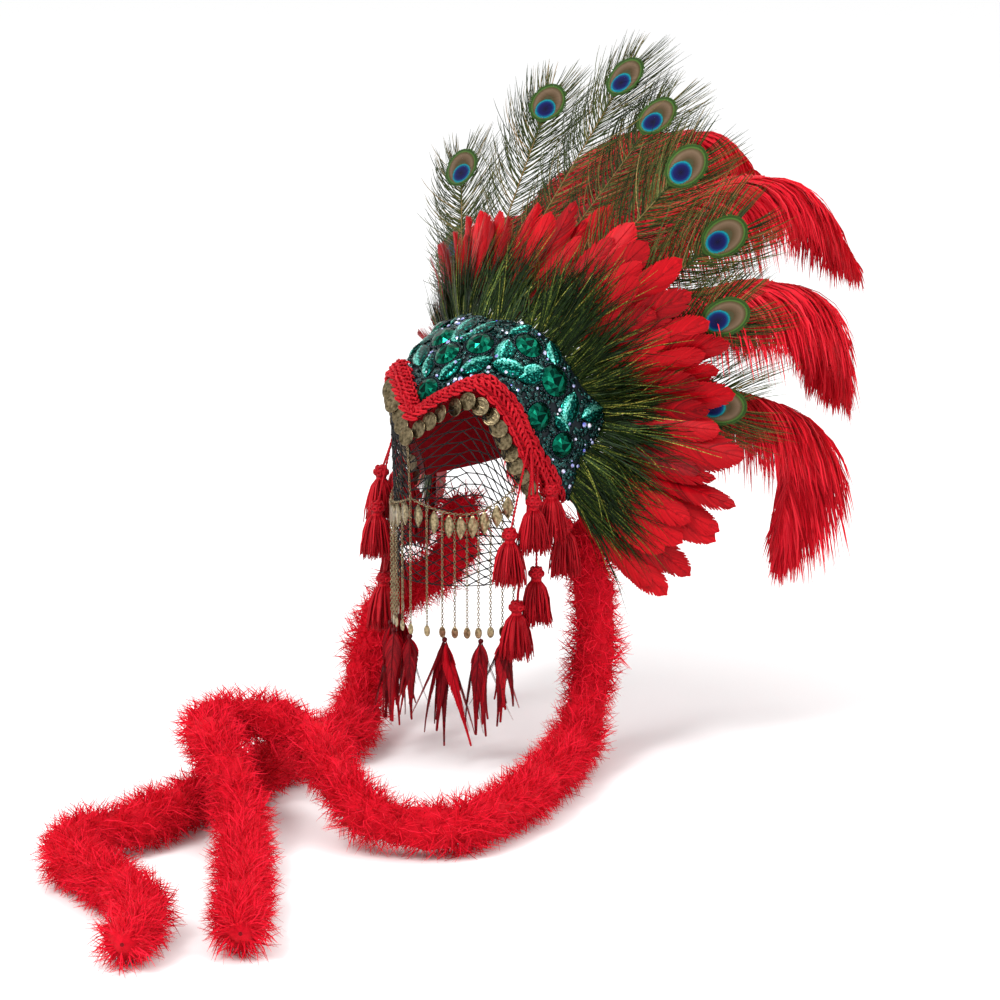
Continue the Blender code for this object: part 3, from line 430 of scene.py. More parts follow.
warm = (1.0, 0.12, 0.10)
red_goose = strand_material("dyed_goose", [
    (0.0, 0.14, 0.0, 0.002), (0.35, 0.36, 0.0, 0.004), (0.8, 0.56, 0.002, 0.008), (1.0, 0.72, 0.01, 0.02)],
    roughness=0.42, sheen=0.1, sheen_tint=warm)
red_ostrich = strand_material("dyed_ostrich", [
    (0.0, 0.36, 0.0, 0.006), (0.5, 0.68, 0.004, 0.018), (1.0, 0.90, 0.03, 0.05)],
    sheen=0.25, sheen_tint=warm)
red_down = strand_material("dyed_marabou", [
    (0.0, 0.26, 0.0, 0.005), (0.5, 0.66, 0.002, 0.016), (1.0, 0.90, 0.014, 0.045)],
    roughness=0.8, sheen=0.2, sheen_tint=warm)
red_thread = strand_material("red_thread", [
    (0.0, 0.14, 0.0, 0.002), (0.5, 0.36, 0.001, 0.008), (1.0, 0.56, 0.01, 0.02)],
    roughness=0.42, sheen=0.1, sheen_tint=warm, grain=1600.0)
# herl colour: dark to bronze green is the herl's own; the gold top stop, reached at the peaks of the strong
# noise, is painted glint
herl_green_and_glint = strand_material("bronze_herl", [
    (0.0, 0.002, 0.005, 0.002), (0.45, 0.010, 0.024, 0.005), (0.68, 0.035, 0.060, 0.009),
    (0.88, 0.13, 0.15, 0.022), (1.0, 0.36, 0.31, 0.06)],
    roughness=0.4, sheen=0.0, metallic=0.4, grain=650.0, depth=1.3)
barb_green = strand_material("peacock_barb", [
    (0.0, 0.006, 0.010, 0.004), (0.45, 0.022, 0.036, 0.008), (0.75, 0.07, 0.075, 0.015),
    (1.0, 0.22, 0.13, 0.05)],
    roughness=0.4, sheen=0.0, metallic=0.4, grain=500.0, depth=0.9)
hackle_red = strand_material("hackle_red", [
    (0.0, 0.012, 0.0, 0.001), (0.4, 0.12, 0.0, 0.003), (1.0, 0.50, 0.003, 0.012)],
    roughness=0.45, sheen=0.1, sheen_tint=warm)
net_black = strand_material("net_thread", [
    (0.0, 0.003, 0.003, 0.003), (1.0, 0.015, 0.015, 0.015)], roughness=0.7, sheen=0.05)
felt_red = strand_material("felt_red", [
    (0.0, 0.14, 0.0, 0.002), (0.5, 0.22, 0.001, 0.006), (1.0, 0.30, 0.003, 0.01)],
    roughness=0.95, grain=500.0, depth=0.9, sheen_tint=warm)
eye_colours = strand_material("peacock_eye", [
    (0.00, 0.004, 0.003, 0.02), (0.22, 0.006, 0.008, 0.08), (0.28, 0.002, 0.05, 0.16),
    (0.33, 0.003, 0.24, 0.28), (0.36, 0.02, 0.09, 0.05), (0.385, 0.07, 0.045, 0.020),
    (0.66, 0.16, 0.105, 0.065), (0.77, 0.07, 0.055, 0.020), (0.82, 0.06, 0.15, 0.025),
    (0.87, 0.020, 0.045, 0.010), (0.94, 0.035, 0.080, 0.012), (1.00, 0.018, 0.040, 0.008)],
    roughness=0.32, sheen=0.02, metallic=0.3, grain=2500.0, depth=0.03)
print("strand materials ready")


# %% Hard materials
def hard_material(name, dark, light, roughness, metallic, scale, bump_mm=0.0, coat=0.0):
    """Colour from noise between two tones, with an optional bump and clear coat."""
    surface, shader = shader_of(name, roughness, metallic)
    noise = noise_of(surface, scale, 4.0)
    colour_from(surface, shader, noise, [(0.3, *dark), (0.7, *light)])
    if bump_mm:
        bump_from(surface, shader, noise, bump_mm / 1000)
    shader.inputs["Coat Weight"].default_value = coat
    return surface


old_brass = hard_material("old_brass", (0.10, 0.075, 0.035), (0.48, 0.38, 0.22), 0.3, 1.0, 350.0, 0.15)
coin_brass = hard_material("coin_brass", (0.045, 0.034, 0.016), (0.27, 0.21, 0.12), 0.32, 1.0, 300.0, 0.15)
# stone colour: the green is the stones' own; the random value stored on each facet, with the fine noise, is
# painted reflection
emerald = strand_material("emerald_foil", [
    (0.0, 0.0, 0.008, 0.006), (0.5, 0.0, 0.05, 0.030), (1.0, 0.004, 0.19, 0.11)], key="painted_facet_reflection",
    roughness=0.14, sheen=0.0, metallic=0.85, grain=420.0, depth=0.5)
sequin_teal = hard_material("sequin_teal", (0.0, 0.006, 0.010), (0.004, 0.13, 0.115), 0.18, 0.85, 420.0,
                            coat=0.7)
# leaf colour: dark to bright teal is the leaves' own; the pale top stop, reached only at the peaks of the
# strong noise, is painted glint
leaf_teal_and_glint = strand_material("leaf_teal_and_glint", [
    (0.0, 0.0, 0.012, 0.010), (0.35, 0.0, 0.045, 0.036), (0.6, 0.01, 0.26, 0.20), (1.0, 0.25, 0.80, 0.68)],
    roughness=0.2, sheen=0.0, metallic=0.85, grain=520.0, depth=2.2)
band_cloth = hard_material("band_cloth", (0.0005, 0.002, 0.006), (0.002, 0.010, 0.014), 0.6, 0.0, 600.0, 0.3)
black_bead = hard_material("black_bead", (0.002, 0.003, 0.006), (0.01, 0.02, 0.03), 0.15, 0.0, 400.0)
# crystal colour: the blue is the crystals' own; the near-white end of the noise is painted glint
crystal = hard_material("blue_crystal_and_glint", (0.03, 0.06, 0.60), (0.95, 0.97, 1.0), 0.04, 0.6, 140.0,
                        coat=1.0)
print("hard materials ready")

# %% [markdown]
# A marabou boa is a cotton cord with down tied in all round, so it lies as a soft tube with no
# clear edge. It could be one rough tube. Here the cord is its own piece on the same route as the
# solid, with a lumpy inner body of dense down and thousands of fine fibres that stand out.

# %% Boa routes and fibres
floor_z = -0.426
cord_radius, down_radius, down_rings, down_sides = 0.002, 0.0185, 260, 20
fibres_per_metre, fibre_reach, fibre_spread, fibre_curl = 16500, 0.0315, 0.0055, 0.045
fibre_steps = np.array([0.4, 0.74, 1.0])
fibre_widths = np.array([0.0012, 0.0010, 0.0002])
BOA_LEFT = np.array([
    (0.0886, 0.0563, -0.1760), (0.098, 0.064, -0.225), (0.108, 0.062, -0.290), (0.110, 0.052, -0.345),
    (0.132, 0.014, -0.386), (0.172, -0.052, -0.3974), (0.226, -0.148, -0.3974), (0.272, -0.256, -0.3974),
    (0.276, -0.335, -0.3974), (0.214, -0.374, -0.390), (0.136, -0.346, -0.368), (0.074, -0.318, -0.348),
    (0.020, -0.316, -0.338), (-0.018, -0.346, -0.336), (-0.010, -0.390, -0.337), (0.034, -0.416, -0.341),
    (0.084, -0.442, -0.364), (0.134, -0.474, -0.391), (0.204, -0.538, -0.3974), (0.320, -0.650, -0.3974),
    (0.400, -0.728, -0.3974)])
BOA_RIGHT = np.array([
    (-0.0886, 0.0563, -0.1760), (-0.092, 0.066, -0.215), (-0.104, 0.052, -0.255), (-0.136, 0.012, -0.282),
    (-0.144, -0.014, -0.325), (-0.132, -0.040, -0.372), (-0.104, -0.080, -0.396), (-0.064, -0.136, -0.3982),
    (-0.046, -0.222, -0.3982), (-0.010, -0.326, -0.3982), (0.020, -0.436, -0.3982), (0.046, -0.540, -0.3982),
    (0.044, -0.612, -0.3982), (0.104, -0.668, -0.3982), (0.186, -0.694, -0.3982), (0.270, -0.730, -0.3982),
    (0.346, -0.826, -0.3982)])


def smooth_route(points, count):
    points = np.asarray(points, float)
    places = run_along(points)
    return eased(points, places, np.linspace(0.0, places[-1], count))


def make_cord(side, line):
    curve = bpy.data.curves.new("boa_cord_" + side, "CURVE")
    curve.dimensions = "3D"
    curve.bevel_depth = cord_radius
    curve.bevel_resolution = 2
    curve.use_fill_caps = True
    spline = curve.splines.new("POLY")
    spline.points.add(len(line) - 1)
    for spot, point in zip(spline.points, line):
        spot.co = (*point, 1.0)
    curve.materials.append(red_thread)
    cord = placed("boa_cord_" + side, curve)
    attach(cord, "root")
    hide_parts("boa_" + side)
    return cord


def make_boa(side, route, seed):
    rng = np.random.default_rng(seed)
    line = smooth_route(route, 34)
    length = float(run_along(line)[-1])
    cord = make_cord(side, line)
    fine = smooth_route(route, down_rings)
    way = unit(np.gradient(fine, axis=0))
    hint = unit(np.cross(way, (0.0, 0.0, 1.0)) + 1e-4)
    other = np.cross(hint, way)
    # dense down: a lumpy tube with rounded ends
    step = np.arange(down_rings)
    turns = round_angles(down_sides)[:, None]
    lump = 1.0 + 0.10 * np.sin(step * 0.55)[:, None] + 0.10 * rng.standard_normal((down_rings, down_sides))
    taper = np.maximum(0.05, np.minimum(1.0, np.minimum(step, step[::-1]) / 5.0) ** 0.5)
    round_way = hint[:, None] * np.cos(turns) + other[:, None] * np.sin(turns)
    body = fine[:, None] + round_way * (down_radius * lump * taper[:, None])[..., None]
    body[..., 2] = np.maximum(body[..., 2], floor_z + 0.001)
    down = Sheaf()
    down.add(body, ring_quads(down_rings, down_sides), tone=0.25 + 0.2 * rng.random(down_rings * down_sides))
    inner = down.make("boa_down_" + side, red_down)
    # loose fibres: they leave the cord in clumps and curl
    count = int(fibres_per_metre * length)
    at = rng.uniform(1, down_rings - 2, count)
    low = at.astype(int)
    share = (at - low)[:, None]
    centre = fine[low] * (1 - share) + fine[low + 1] * share
    clump = rng.uniform(0, 2 * np.pi, 400)[(at * 1.5).astype(int) % 400]
    turn = (clump + rng.normal(0, 1.5, count))[:, None]
    slant = rng.normal(0, 0.45, (count, 1))
    out = unit(hint[low] * np.cos(turn) + other[low] * np.sin(turn) + way[low] * slant)
    across, ahead = rng.normal(0, 1, (count, 1)), rng.normal(0, 1, (count, 1))
    curl = unit(np.cross(out, way[low]) * across + way[low] * ahead)
    long = fibre_reach + fibre_spread * rng.standard_normal(count).clip(-2, 1.3)
    long = (long * (0.95 + 0.10 * np.sin(at * 0.33)))[:, None, None]
    steps = fibre_steps[None, :, None]
    bent = curl[:, None] * (steps - fibre_steps[0]) ** 2 * fibre_curl
    paths = centre[:, None] + out[:, None] * steps * long + bent
    paths[..., 2] = np.maximum(paths[..., 2], floor_z + 0.0006)
    fluff = Sheaf()
    facing = unit(rng.standard_normal((count, 3)))
    ribbons(fluff, paths, fibre_widths, facing, 0.15 + 0.8 * rng.random(count))
    outer = fluff.make("boa_fibres_" + side, red_down)
    print("boa", side, round(length, 3), "m")


make_boa("left", BOA_LEFT, 11)
make_boa("right", BOA_RIGHT, 12)

# %% [markdown]
# The cap is a plain felt hood under the band. It could be a copy of the solid. Here the same
# dome is made with closer points, so that it curves smoothly, and with a turned, stitched hem.

# %% Cap
cap_wall, cap_standoff, setback, front_ease, sweep = 0.002, 0.0022, 0.012, 0.004, math.radians(115.0)


def cap_surface(u, v, inset):
    halves = np.array((head_half_width, head_half_depth - front_ease, head_half_height)) + cap_wall - inset
    hem = edge_point(u, -braid_on_band / 2, -wall - cap_standoff - inset)
    share = (hem + (0, -setback, head_half_height)) / halves
    hem_turn = np.arctan2(share[:, 0], share[:, 2])
    start = np.arccos(-share[:, 1] / np.linalg.norm(share, axis=1))

    def dome(angle, turn):
        return np.stack([halves[0] * np.sin(turn) * np.sin(angle), setback - halves[1] * np.cos(angle),
                         -head_half_height + halves[2] * np.cos(turn) * np.sin(angle)], axis=1)

    lift = hem - dome(start, hem_turn)
    turn = hem_turn + (sweep * u - hem_turn) * v
    return dome(start + (math.pi - start) * v, turn) + lift * (1.0 - v) ** 8


def skin(sheaf, front, rear, tone=0.5):
    """Closed sheet between two grids of points."""
    rows, columns = front.shape[:2]
    index = np.arange(rows * columns).reshape(rows, columns)
    top = np.stack([index[:-1, :-1], index[:-1, 1:], index[1:, 1:], index[1:, :-1]], axis=-1).reshape(-1, 4)
    below = top[:, ::-1] + rows * columns
    far = rows * columns
    walls = [np.stack([edge[:-1], edge[1:], edge[1:] + far, edge[:-1] + far], axis=1)
             for edge in (index[0], index[-1], index[:, 0], index[:, -1])]
    points = np.concatenate([front.reshape(-1, 3), rear.reshape(-1, 3)])
    sheaf.add(points, np.concatenate([top, below] + walls), tone=tone)


def sheet(sheaf, surface, us, vs, thickness):
    """Closed sheet from a surface of u, v and depth."""
    skin(sheaf, *(np.stack([surface(us, v, depth) for v in vs]) for depth in (0.0, thickness)))


cap = Sheaf()
sheet(cap, cap_surface, np.linspace(-1, 1, 73), np.linspace(0, 0.999, 30) ** 1.25, cap_wall)
for sink, v in ((-0.0003, 0.93), (0.0, 0.02)):
    seam = cap_surface(np.linspace(-0.99, 0.99, 181), v, sink)
    stitches = np.stack([seam[:-1:2], (seam[:-1:2] + seam[1::2]) / 2, seam[1::2]], axis=1)
    tubes(cap, stitches, np.array([0.0001, 0.0005, 0.0001]), 5, (0.1, 0.2, 1.0), 0.9)
cap.make("felt_cap", felt_red, ["cap"])

# %% [markdown]
# The band is buckram covered with cloth and crowded with sequins, sewn leaves and stones, so no
# cloth shows. A texture could paint them, but sequins catch the light one by one. Each is a
# small cupped disc that is tilted a little, and each leaf is a shield of rows of sequins.

# %% Band, sequins and leaves
gem_radius, gem_height, leaf_half = 0.015, 0.0084, 0.0200
sequin_count, sequin_smallest, sequin_largest, sequin_tilt = 2600, 0.0019, 0.0027, 0.28
crystal_count, crystal_smallest, crystal_largest = 190, 0.0010, 0.0028
band = Sheaf()
sheet(band, band_point, np.linspace(-1, 1, 121), np.linspace(0, 1, 14), wall)
band.make("band_cloth", band_cloth, ["sequin_band"])

GEMS = [("centre_1", 0.0, 0.13, 0.88), ("centre_2", 0.0, 0.47, 0.93)]
for k, (u, v, size) in enumerate([(0.125, 0.55, 0.97), (0.29, 0.68, 0.97), (0.50, 0.64, 1.10),
                                  (0.57, 0.17, 0.97), (0.745, 0.28, 0.88)]):
    GEMS += [("left_%d" % (k + 1), u, v, size), ("right_%d" % (k + 1), -u, v, size)]
# place along and across the band, turn in degrees, size
LEAVES = [(0.045, 0.66, 75, 0.75), (0.240, 0.44, -20, 0.90), (0.075, 0.25, 40, 0.80), (0.175, 0.22, 75, 0.95),
          (0.060, 0.80, 20, 0.85), (0.300, 0.25, 60, 0.95), (0.400, 0.42, 20, 0.95), (0.630, 0.62, -35, 0.95),
          (0.700, 0.84, 10, 0.80), (0.210, 0.86, 35, 0.70), (0.400, 0.88, -50, 0.75), (0.660, 0.40, 70, 0.60)]
sequin_shape = turned([(0.0, 0.0), (1.0, 0.40), (0.0, -0.12)], 7)


def scatter(count, rng, spare):
    """Even random places on the band, left clear of the stones by the spare distance."""
    fine = np.linspace(-1, 1, 400)
    weight = band_share(fine)
    u = np.interp(rng.random(count), np.cumsum(weight) / weight.sum(), fine)
    v = rng.uniform(0.02, 0.99, count)
    place = band_point(u, v)
    clear = np.ones(count, bool)
    for _, gu, gv, size in GEMS:
        clear &= np.linalg.norm(place - band_point(gu, gv), axis=1) > gem_radius * size * spare
    return u[clear], v[clear], place[clear]


rng = np.random.default_rng(21)
u, v, place = scatter(sequin_count, rng, 0.9)
out = unit(band_facing(u, v) + rng.normal(0, sequin_tilt, (len(u), 3)))
x = unit(np.cross(out, unit(rng.standard_normal((len(u), 3)))))
sequins = Sheaf()
stamp(sequins, sequin_shape, place + out * 0.0008, x, np.cross(out, x), out,
      rng.uniform(sequin_smallest, sequin_largest, len(u)), rng.random(len(u)))
sequins.make("band_sequins", sequin_teal)

leaves = Sheaf()
S, T = np.meshgrid(np.linspace(-1, 1, 15), np.linspace(-1, 1, 9))
leaf_width = 0.60 * (1 - np.abs(S) ** 2.4) + 0.01
leaf_rise = (0.0022 + 0.0026 * (1 - T**2) * (1 - np.abs(S) ** 3) - 0.0012 * np.exp(-(T / 0.12) ** 2)
             + 0.0004 * np.sin(S * 26 + np.abs(T) * 9))
leaf_tones = np.where(T > 0.04, 0.72, 0.25) + np.where(np.abs(np.abs(T) - 0.95) < 0.1, -0.25, 0.0)
for leaf_u, leaf_v, turn, size in LEAVES:
    for side in (-1.0, 1.0):
        spot, out = band_point(side * leaf_u, leaf_v)[0], band_facing(side * leaf_u, leaf_v)[0]
        angle = math.radians(turn)
        turned_way = width_way(side * leaf_u)[0] * math.cos(angle)
        turned_way = unit(turned_way + along(brow_edge, side * leaf_u)[0] * math.sin(angle) * side)
        long_way = unit(turned_way - out * (turned_way @ out))
        flat = long_way * (S * leaf_half * size)[..., None]
        flat = spot + flat + np.cross(out, long_way) * (T * leaf_width * leaf_half * size)[..., None]
        skin(leaves, flat + out * leaf_rise[..., None], flat - out * 0.001, np.tile(leaf_tones.ravel(), 2))
leaves.make("band_leaves", leaf_teal_and_glint)

# %% Small crystals between the stones
rng = np.random.default_rng(22)
crystal_shape = turned([(0.0, 0.0), (1.0, 0.0), (1.0, 0.3), (0.55, 0.75), (0.0, 0.78)], 8)
u, v, place = scatter(crystal_count, rng, 1.15)
out = band_facing(u, v)
x = unit(np.cross(out, (0.3, 0.5, 0.8)))
crystals = Sheaf()
stamp(crystals, crystal_shape, place + out * 0.0022, x, np.cross(out, x), out,
      rng.uniform(crystal_smallest, crystal_largest, len(u)))
crystals.make("band_crystals", crystal, smooth=False)

# %% [markdown]
# The large stones are round moulded resin with a foiled back: a small table, two rows of crown
# facets and a beaded rim. Real refraction would be slow and would look dark at this size, so
# a glossy green with some metal in it and sharp flat facets stands for the foil. A random
# brightness on each facet, with fine noise, is painted reflection.

# %% Large stones
def cut_stone(radius, height):
    """A girdle of 16 corners, a row of 16 turned by half a step and a table of 8."""
    points, tris = [], []
    for share, rise, count, twist in [(0.98, 0.0, 16, 0.0), (1.0, 0.30, 16, 0.0), (0.76, 0.72, 16, 0.5),
                                      (0.45, 1.0, 8, 0.0)]:
        turn = 2 * np.pi * (np.arange(count) + twist) / count
        points.append(ellipse(turn, radius * share, radius * share, height * rise))
    for i in range(16):
        n = (i + 1) % 16
        tris += [(i, n, 16 + n), (i, 16 + n, 16 + i), (16 + i, 16 + n, 32 + i), (16 + n, 32 + n, 32 + i)]
    for i in range(8):
        n = (i + 1) % 8
        first, middle, last = 32 + 2 * i, 33 + 2 * i, 32 + (2 * i + 2) % 16
        tris += [(first, middle, 48 + n), (first, 48 + n, 48 + i), (middle, last, 48 + n)]
    tris += [(48, 48 + i, 49 + i) for i in range(1, 7)]
    tris += [(0, i + 1, i) for i in range(1, 15)]
    return np.concatenate(points), None, np.array(tris)


bead_shape = turned([(0.0, -1.0), (0.9, -0.4), (0.9, 0.4), (0.0, 1.0)], 6)
for name, u, v, size in GEMS:
    on_band, out = band_point(u, v)[0], band_facing(u, v)[0]
    x = unit(width_way(u)[0] - out * (width_way(u)[0] @ out))
    y = np.cross(out, x)
    # the foot of the solid gives the height of the stone's own foot
    corners = np.array([c.co[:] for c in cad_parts["gem_" + name].data.vertices])
    spot = on_band + out * ((corners - on_band) @ out).min()
    radius = gem_radius * size
    stone = Sheaf()
    stamp(stone, cut_stone(radius * 1.02, gem_height), spot[None], x, y, out)
    piece = stone.make("stone_" + name, emerald, ["gem_" + name], smooth=False)
    # a random brightness on each facet: painted reflection
    facets = piece.data.attributes.new("painted_facet_reflection", "FLOAT", "FACE")
    tones = np.random.default_rng(23).random(len(piece.data.polygons))
    facets.data.foreach_set("value", tones.astype(np.float32))
    rim = Sheaf()
    ring = ellipse(round_angles(34), radius * 1.10, radius * 1.10, 0.0014)
    stamp(rim, bead_shape, spot + ring @ np.stack([x, y, out]), x, y, out, 0.0015)
    rim.make("stone_rim_" + name, black_bead)

# %% [markdown]
# The braid is crocheted in thick red yarn, in rows of chain stitches with a looped edge. A
# bump map on a strap would look flat from the side. Every stitch here is a small bent tube, in
# four rows that overlap, over a soft core that closes the gaps.

# %% Braid
rng = np.random.default_rng(31)
brow_fine = np.linspace(-1, 1, 2001)
brow_run = run_along(brow_edge(brow_fine))
braid_across, braid_out = braid_on_band - braid_width / 2, braid_thickness / 2 - wall
yarn_radius, edge_yarn_radius, stitch_pitch, edge_pitch = 0.00145, 0.0013, 0.0062, 0.013
stitch_half, stitch_side, stitch_lift, core_half, core_rise = 0.0048, 0.0026, 0.0011, 0.0098, 0.0034
braid = Sheaf()
section = np.array([(1.0, 0.0), (0.6, 0.8), (-0.6, 0.8), (-1.0, 0.0), (-0.6, -0.8), (0.6, -0.8)])
core_u = np.linspace(-1, 1, 141)
core = [edge_point(core_u, braid_across + a * core_half, braid_out + b * core_rise) for a, b in section]
braid.add(np.stack(core, axis=1), ring_quads(len(core_u), len(section)), tone=0.2)
turn = round_angles(10)
stitch = ellipse(turn, stitch_half, stitch_side * (1 + 0.3 * np.cos(turn)), stitch_lift * np.sin(2 * turn))


def braid_places(pitch, shift):
    count = int(brow_run[-1] / pitch)
    return count, np.interp((np.arange(count) + shift) / count * brow_run[-1], brow_run, brow_fine)


# place across the braid, rise and tilt of each row of stitches
for row, (across, rise, tilt) in enumerate([(-0.0085, 0.0018, 0.5), (-0.0030, 0.0042, -0.4),
                                            (0.0028, 0.0044, 0.4), (0.0082, 0.0020, -0.5)]):
    count, at = braid_places(stitch_pitch, 0.5 * (row % 2))
    moved, lifted = rng.normal(0, 0.0006, count), rng.normal(0, 0.0003, count)
    spot = edge_point(at, braid_across + across + moved, braid_out + rise + lifted)
    side, out = width_way(at), band_normal(at)
    lean = unit(unit(np.cross(side, out)) + side * tilt)
    axes = np.stack([lean, unit(np.cross(out, lean)), out], axis=1)
    tones = 0.35 + 0.5 * rng.random(count)
    tubes(braid, spot[:, None] + stitch @ axes, np.full(len(turn), yarn_radius), 5, out[:, None], tones)
half_turn = np.linspace(0, np.pi, 9)
for edge, across in ((1, 0.0108), (-1, -0.0112)):
    count, at = braid_places(edge_pitch, 0.5)
    spot = edge_point(at, braid_across + across, braid_out + 0.0005)
    side, out = width_way(at), band_normal(at)
    axes = np.stack([unit(np.cross(side, out)), side, out], axis=1)
    loop = ellipse(half_turn, 0.0055, 0.0026 * edge)
    tubes(braid, spot[:, None] + loop @ axes, np.full(len(loop), edge_yarn_radius), 6, out[:, None], 0.6)
braid.make("crochet_braid", red_thread, ["face_braid"])

# %% [markdown]
# Thin stamped brass coins hang from the braid and overlap. A flat disc would look like a
# button, so each coin has a raised rim, a ring of dots and a plain star, and its own small tilt.

# %% Coins
coin_radius, coin_thickness, coin_clearance, coin_pitch = 0.00975, 0.0014, 0.0012, 0.0154
coin_reach, coin_end_u = 0.07, 0.95
coin_across = braid_on_band - braid_width - coin_radius + 0.004
coin_out = -wall - coin_clearance - coin_thickness


def coin_centre(u):
    return edge_point(u, coin_across, coin_out)


coin_fine = np.linspace(0, coin_end_u, 600)
coin_run = run_along(coin_centre(coin_fine))
coin_count = round(coin_run[-1] / coin_pitch)
half_row = np.interp(coin_run[-1] * np.arange(1, coin_count + 1) / coin_count, coin_run, coin_fine)
coin_u = np.concatenate([-half_row[::-1], [0.0], half_row])
reach = np.minimum(np.minimum(coin_reach, np.abs(coin_u)), 1 - np.abs(coin_u))
reach[coin_count] = coin_reach
chord = coin_centre(coin_u + reach) - coin_centre(coin_u - reach)
coin_side = width_way(coin_u)
coin_facing = unit(np.cross(chord, coin_side))
coin_side = unit(coin_side - coin_facing * (coin_side * coin_facing).sum(1, keepdims=True))

# radius and height of each ring of the stamped face, from the middle to the back
COIN_RINGS = [(0.0, 0.55), (0.18, 0.55), (0.36, 0.5), (0.5, 0.42), (0.62, 0.38), (0.7, 0.5), (0.78, 0.5),
              (0.84, 0.38), (0.9, 0.7), (1.0, 0.7), (1.0, -0.5), (0.0, -0.5)]
turn = round_angles(30)
rings = []
for r, h in COIN_RINGS:
    star = 0.30 * np.maximum(0, np.cos(5 * turn)) * (0.1 < r < 0.55)
    dots = 0.25 * (np.cos(20 * turn) > 0) * (0.65 < r < 0.8)
    rings.append(ellipse(turn, r, r, 0.075 * (h + star + dots)))
coin_shape = (np.concatenate(rings), ring_quads(len(rings), len(turn)), None)
rng = np.random.default_rng(41)
# hung from the row's front edge, they turn to the front and fall almost straight down
inward = np.stack([-np.sign(coin_u), np.zeros_like(coin_u), np.zeros_like(coin_u)], axis=1)
forward = np.sign((coin_facing * (0, -1, 0.2)).sum(1, keepdims=True))
facing = unit(coin_facing * forward * 0.35 + np.array((0, -0.85, 0.12)))
facing = unit(facing + rng.normal(0, 0.10, facing.shape))
fall = unit(np.array((0, 0, -1.0)) - facing * (facing * (0, 0, -1.0)).sum(1, keepdims=True))
low_share = np.clip(np.abs(coin_u) / 0.4, 0, 1)[:, None]
spots = coin_centre(coin_u) + coin_side * 0.0010 + fall * (0.0070 - 0.004 * low_share)
spots += inward * 0.002 * low_share
# neighbours overlap, so every coin lies a little in front of the one beside it
spots += facing * (0.0011 * (np.arange(len(coin_u)) % 3))[:, None]
coins = Sheaf()
stamp(coins, coin_shape, spots, np.cross(fall, facing), fall, facing, coin_radius)
coins.make("coins", coin_brass, ["coin_row"])

# %% [markdown]
# The veil is black fishnet: thin doubled thread with a knot at each crossing. Alpha in a
# material could fake it, but it would have no thickness. Thin tubes follow two slanting families
# of lines over the same surface as the solid, and small beads are the knots.

# %% Net veil
net_edge_u, net_bottom, chin_half, chin_depth, chin_back = 0.80, 0.232, 0.066, 0.058, 0.036
net_columns, net_rows, net_thread, net_knot = 10, 32, 0.0007, 0.0013


def net_point(a, t, out=0.0):
    """Surface of the veil: a from cheek to cheek, t from the coins to the chin."""
    a, t = np.broadcast_arrays(np.atleast_1d(a).astype(float), t)
    behind = coin_out - coin_thickness - 0.0001 - coin_clearance - 0.0012
    top = edge_point(a * net_edge_u, coin_across - 0.00195, behind)
    turn = math.radians(85.0) * a
    round_way = np.stack([np.sin(turn), -np.cos(turn), np.zeros(a.size)], axis=1)
    bottom = round_way * (chin_half, chin_depth, 0) - (0, chin_back, net_bottom)
    return top + (bottom - top) * t[:, None] + round_way * out


def net_places(steps):
    """Points of the veil from whole steps across and down."""
    i, j = np.array(steps).T
    return net_point(-1 + i / net_columns, j / net_rows)


net = Sheaf()
for slant in (1, -1):
    for start in range(-net_rows, 2 * net_columns + net_rows + 1, 2):
        whole = [(start + slant * j, j) for j in range(net_rows + 1)]
        steps = [(i, j) for i, j in whole if 0 <= i <= 2 * net_columns]
        if len(steps) > 1:
            line = net_places(steps)
            tubes(net, np.stack([line[:-1], line[1:]], axis=1), np.full(2, net_thread), 3, (0.2, 0.4, 0.1))
crossings = [(i, j) for j in range(net_rows + 1) for i in range(2 * net_columns + 1) if (i + j) % 2 == 0]
stamp(net, bead_shape, net_places(crossings), *upright, net_knot)
tubes(net, net_point(np.linspace(-1, 1, 120), 1.0)[None], np.full(120, 0.0006), 5)
net.make("fishnet", net_black, ["face_net"])

# %% [markdown]
# Fine brass chains hang from a swag chain that loops from cheek to cheek, with pointed drops
# between them and flat charms below. Rods would be cheap. Each chain is made of real links,
# every second one turned by a quarter, from one shape that is stamped many times.

# %% Chains
swag_drop, swag_sag, swag_span, chain_drop, per_side = 0.142, 0.020, 0.97, 0.285, 8
chain_gap, link_long, link_wide, link_wire, link_pitch = 0.0032, 0.0019, 0.0012, 0.00042, 0.0029
charm_radius, leaf_drop_long, leaf_drop_half = 0.0038, 0.024, 0.0056


def swag_point(t):
    t = np.atleast_1d(t).astype(float)
    top, bottom = net_point(t * swag_span, 0.0), net_point(t * swag_span, 1.0)
    end_drop = -net_point(swag_span, 0.12)[0, 2]
    level = swag_drop + (end_drop - swag_drop) * np.abs(t) + swag_sag * 4 * np.abs(t) * (1 - np.abs(t))
    return net_point(t * swag_span, (-level - top[:, 2]) / (bottom[:, 2] - top[:, 2]), chain_gap)


link_path = ellipse(round_angles(7), link_long, link_wide)
side = np.cross(unit(np.roll(link_path, -1, 0) - np.roll(link_path, 1, 0)), (0, 0, 1))[:, None]
around = round_angles(4)[:, None]
wire = side * np.cos(around) + np.array((0, 0, 1.0)) * np.sin(around)
index = np.arange(28).reshape(7, 4)
ahead, over = np.roll(index, -1, 0), np.roll(index, -1, 1)
link_quads = np.stack([index, over, np.roll(over, -1, 0), ahead], axis=-1).reshape(-1, 4)
link_shape = ((link_path[:, None] + link_wire * wire).reshape(-1, 3), link_quads, None)


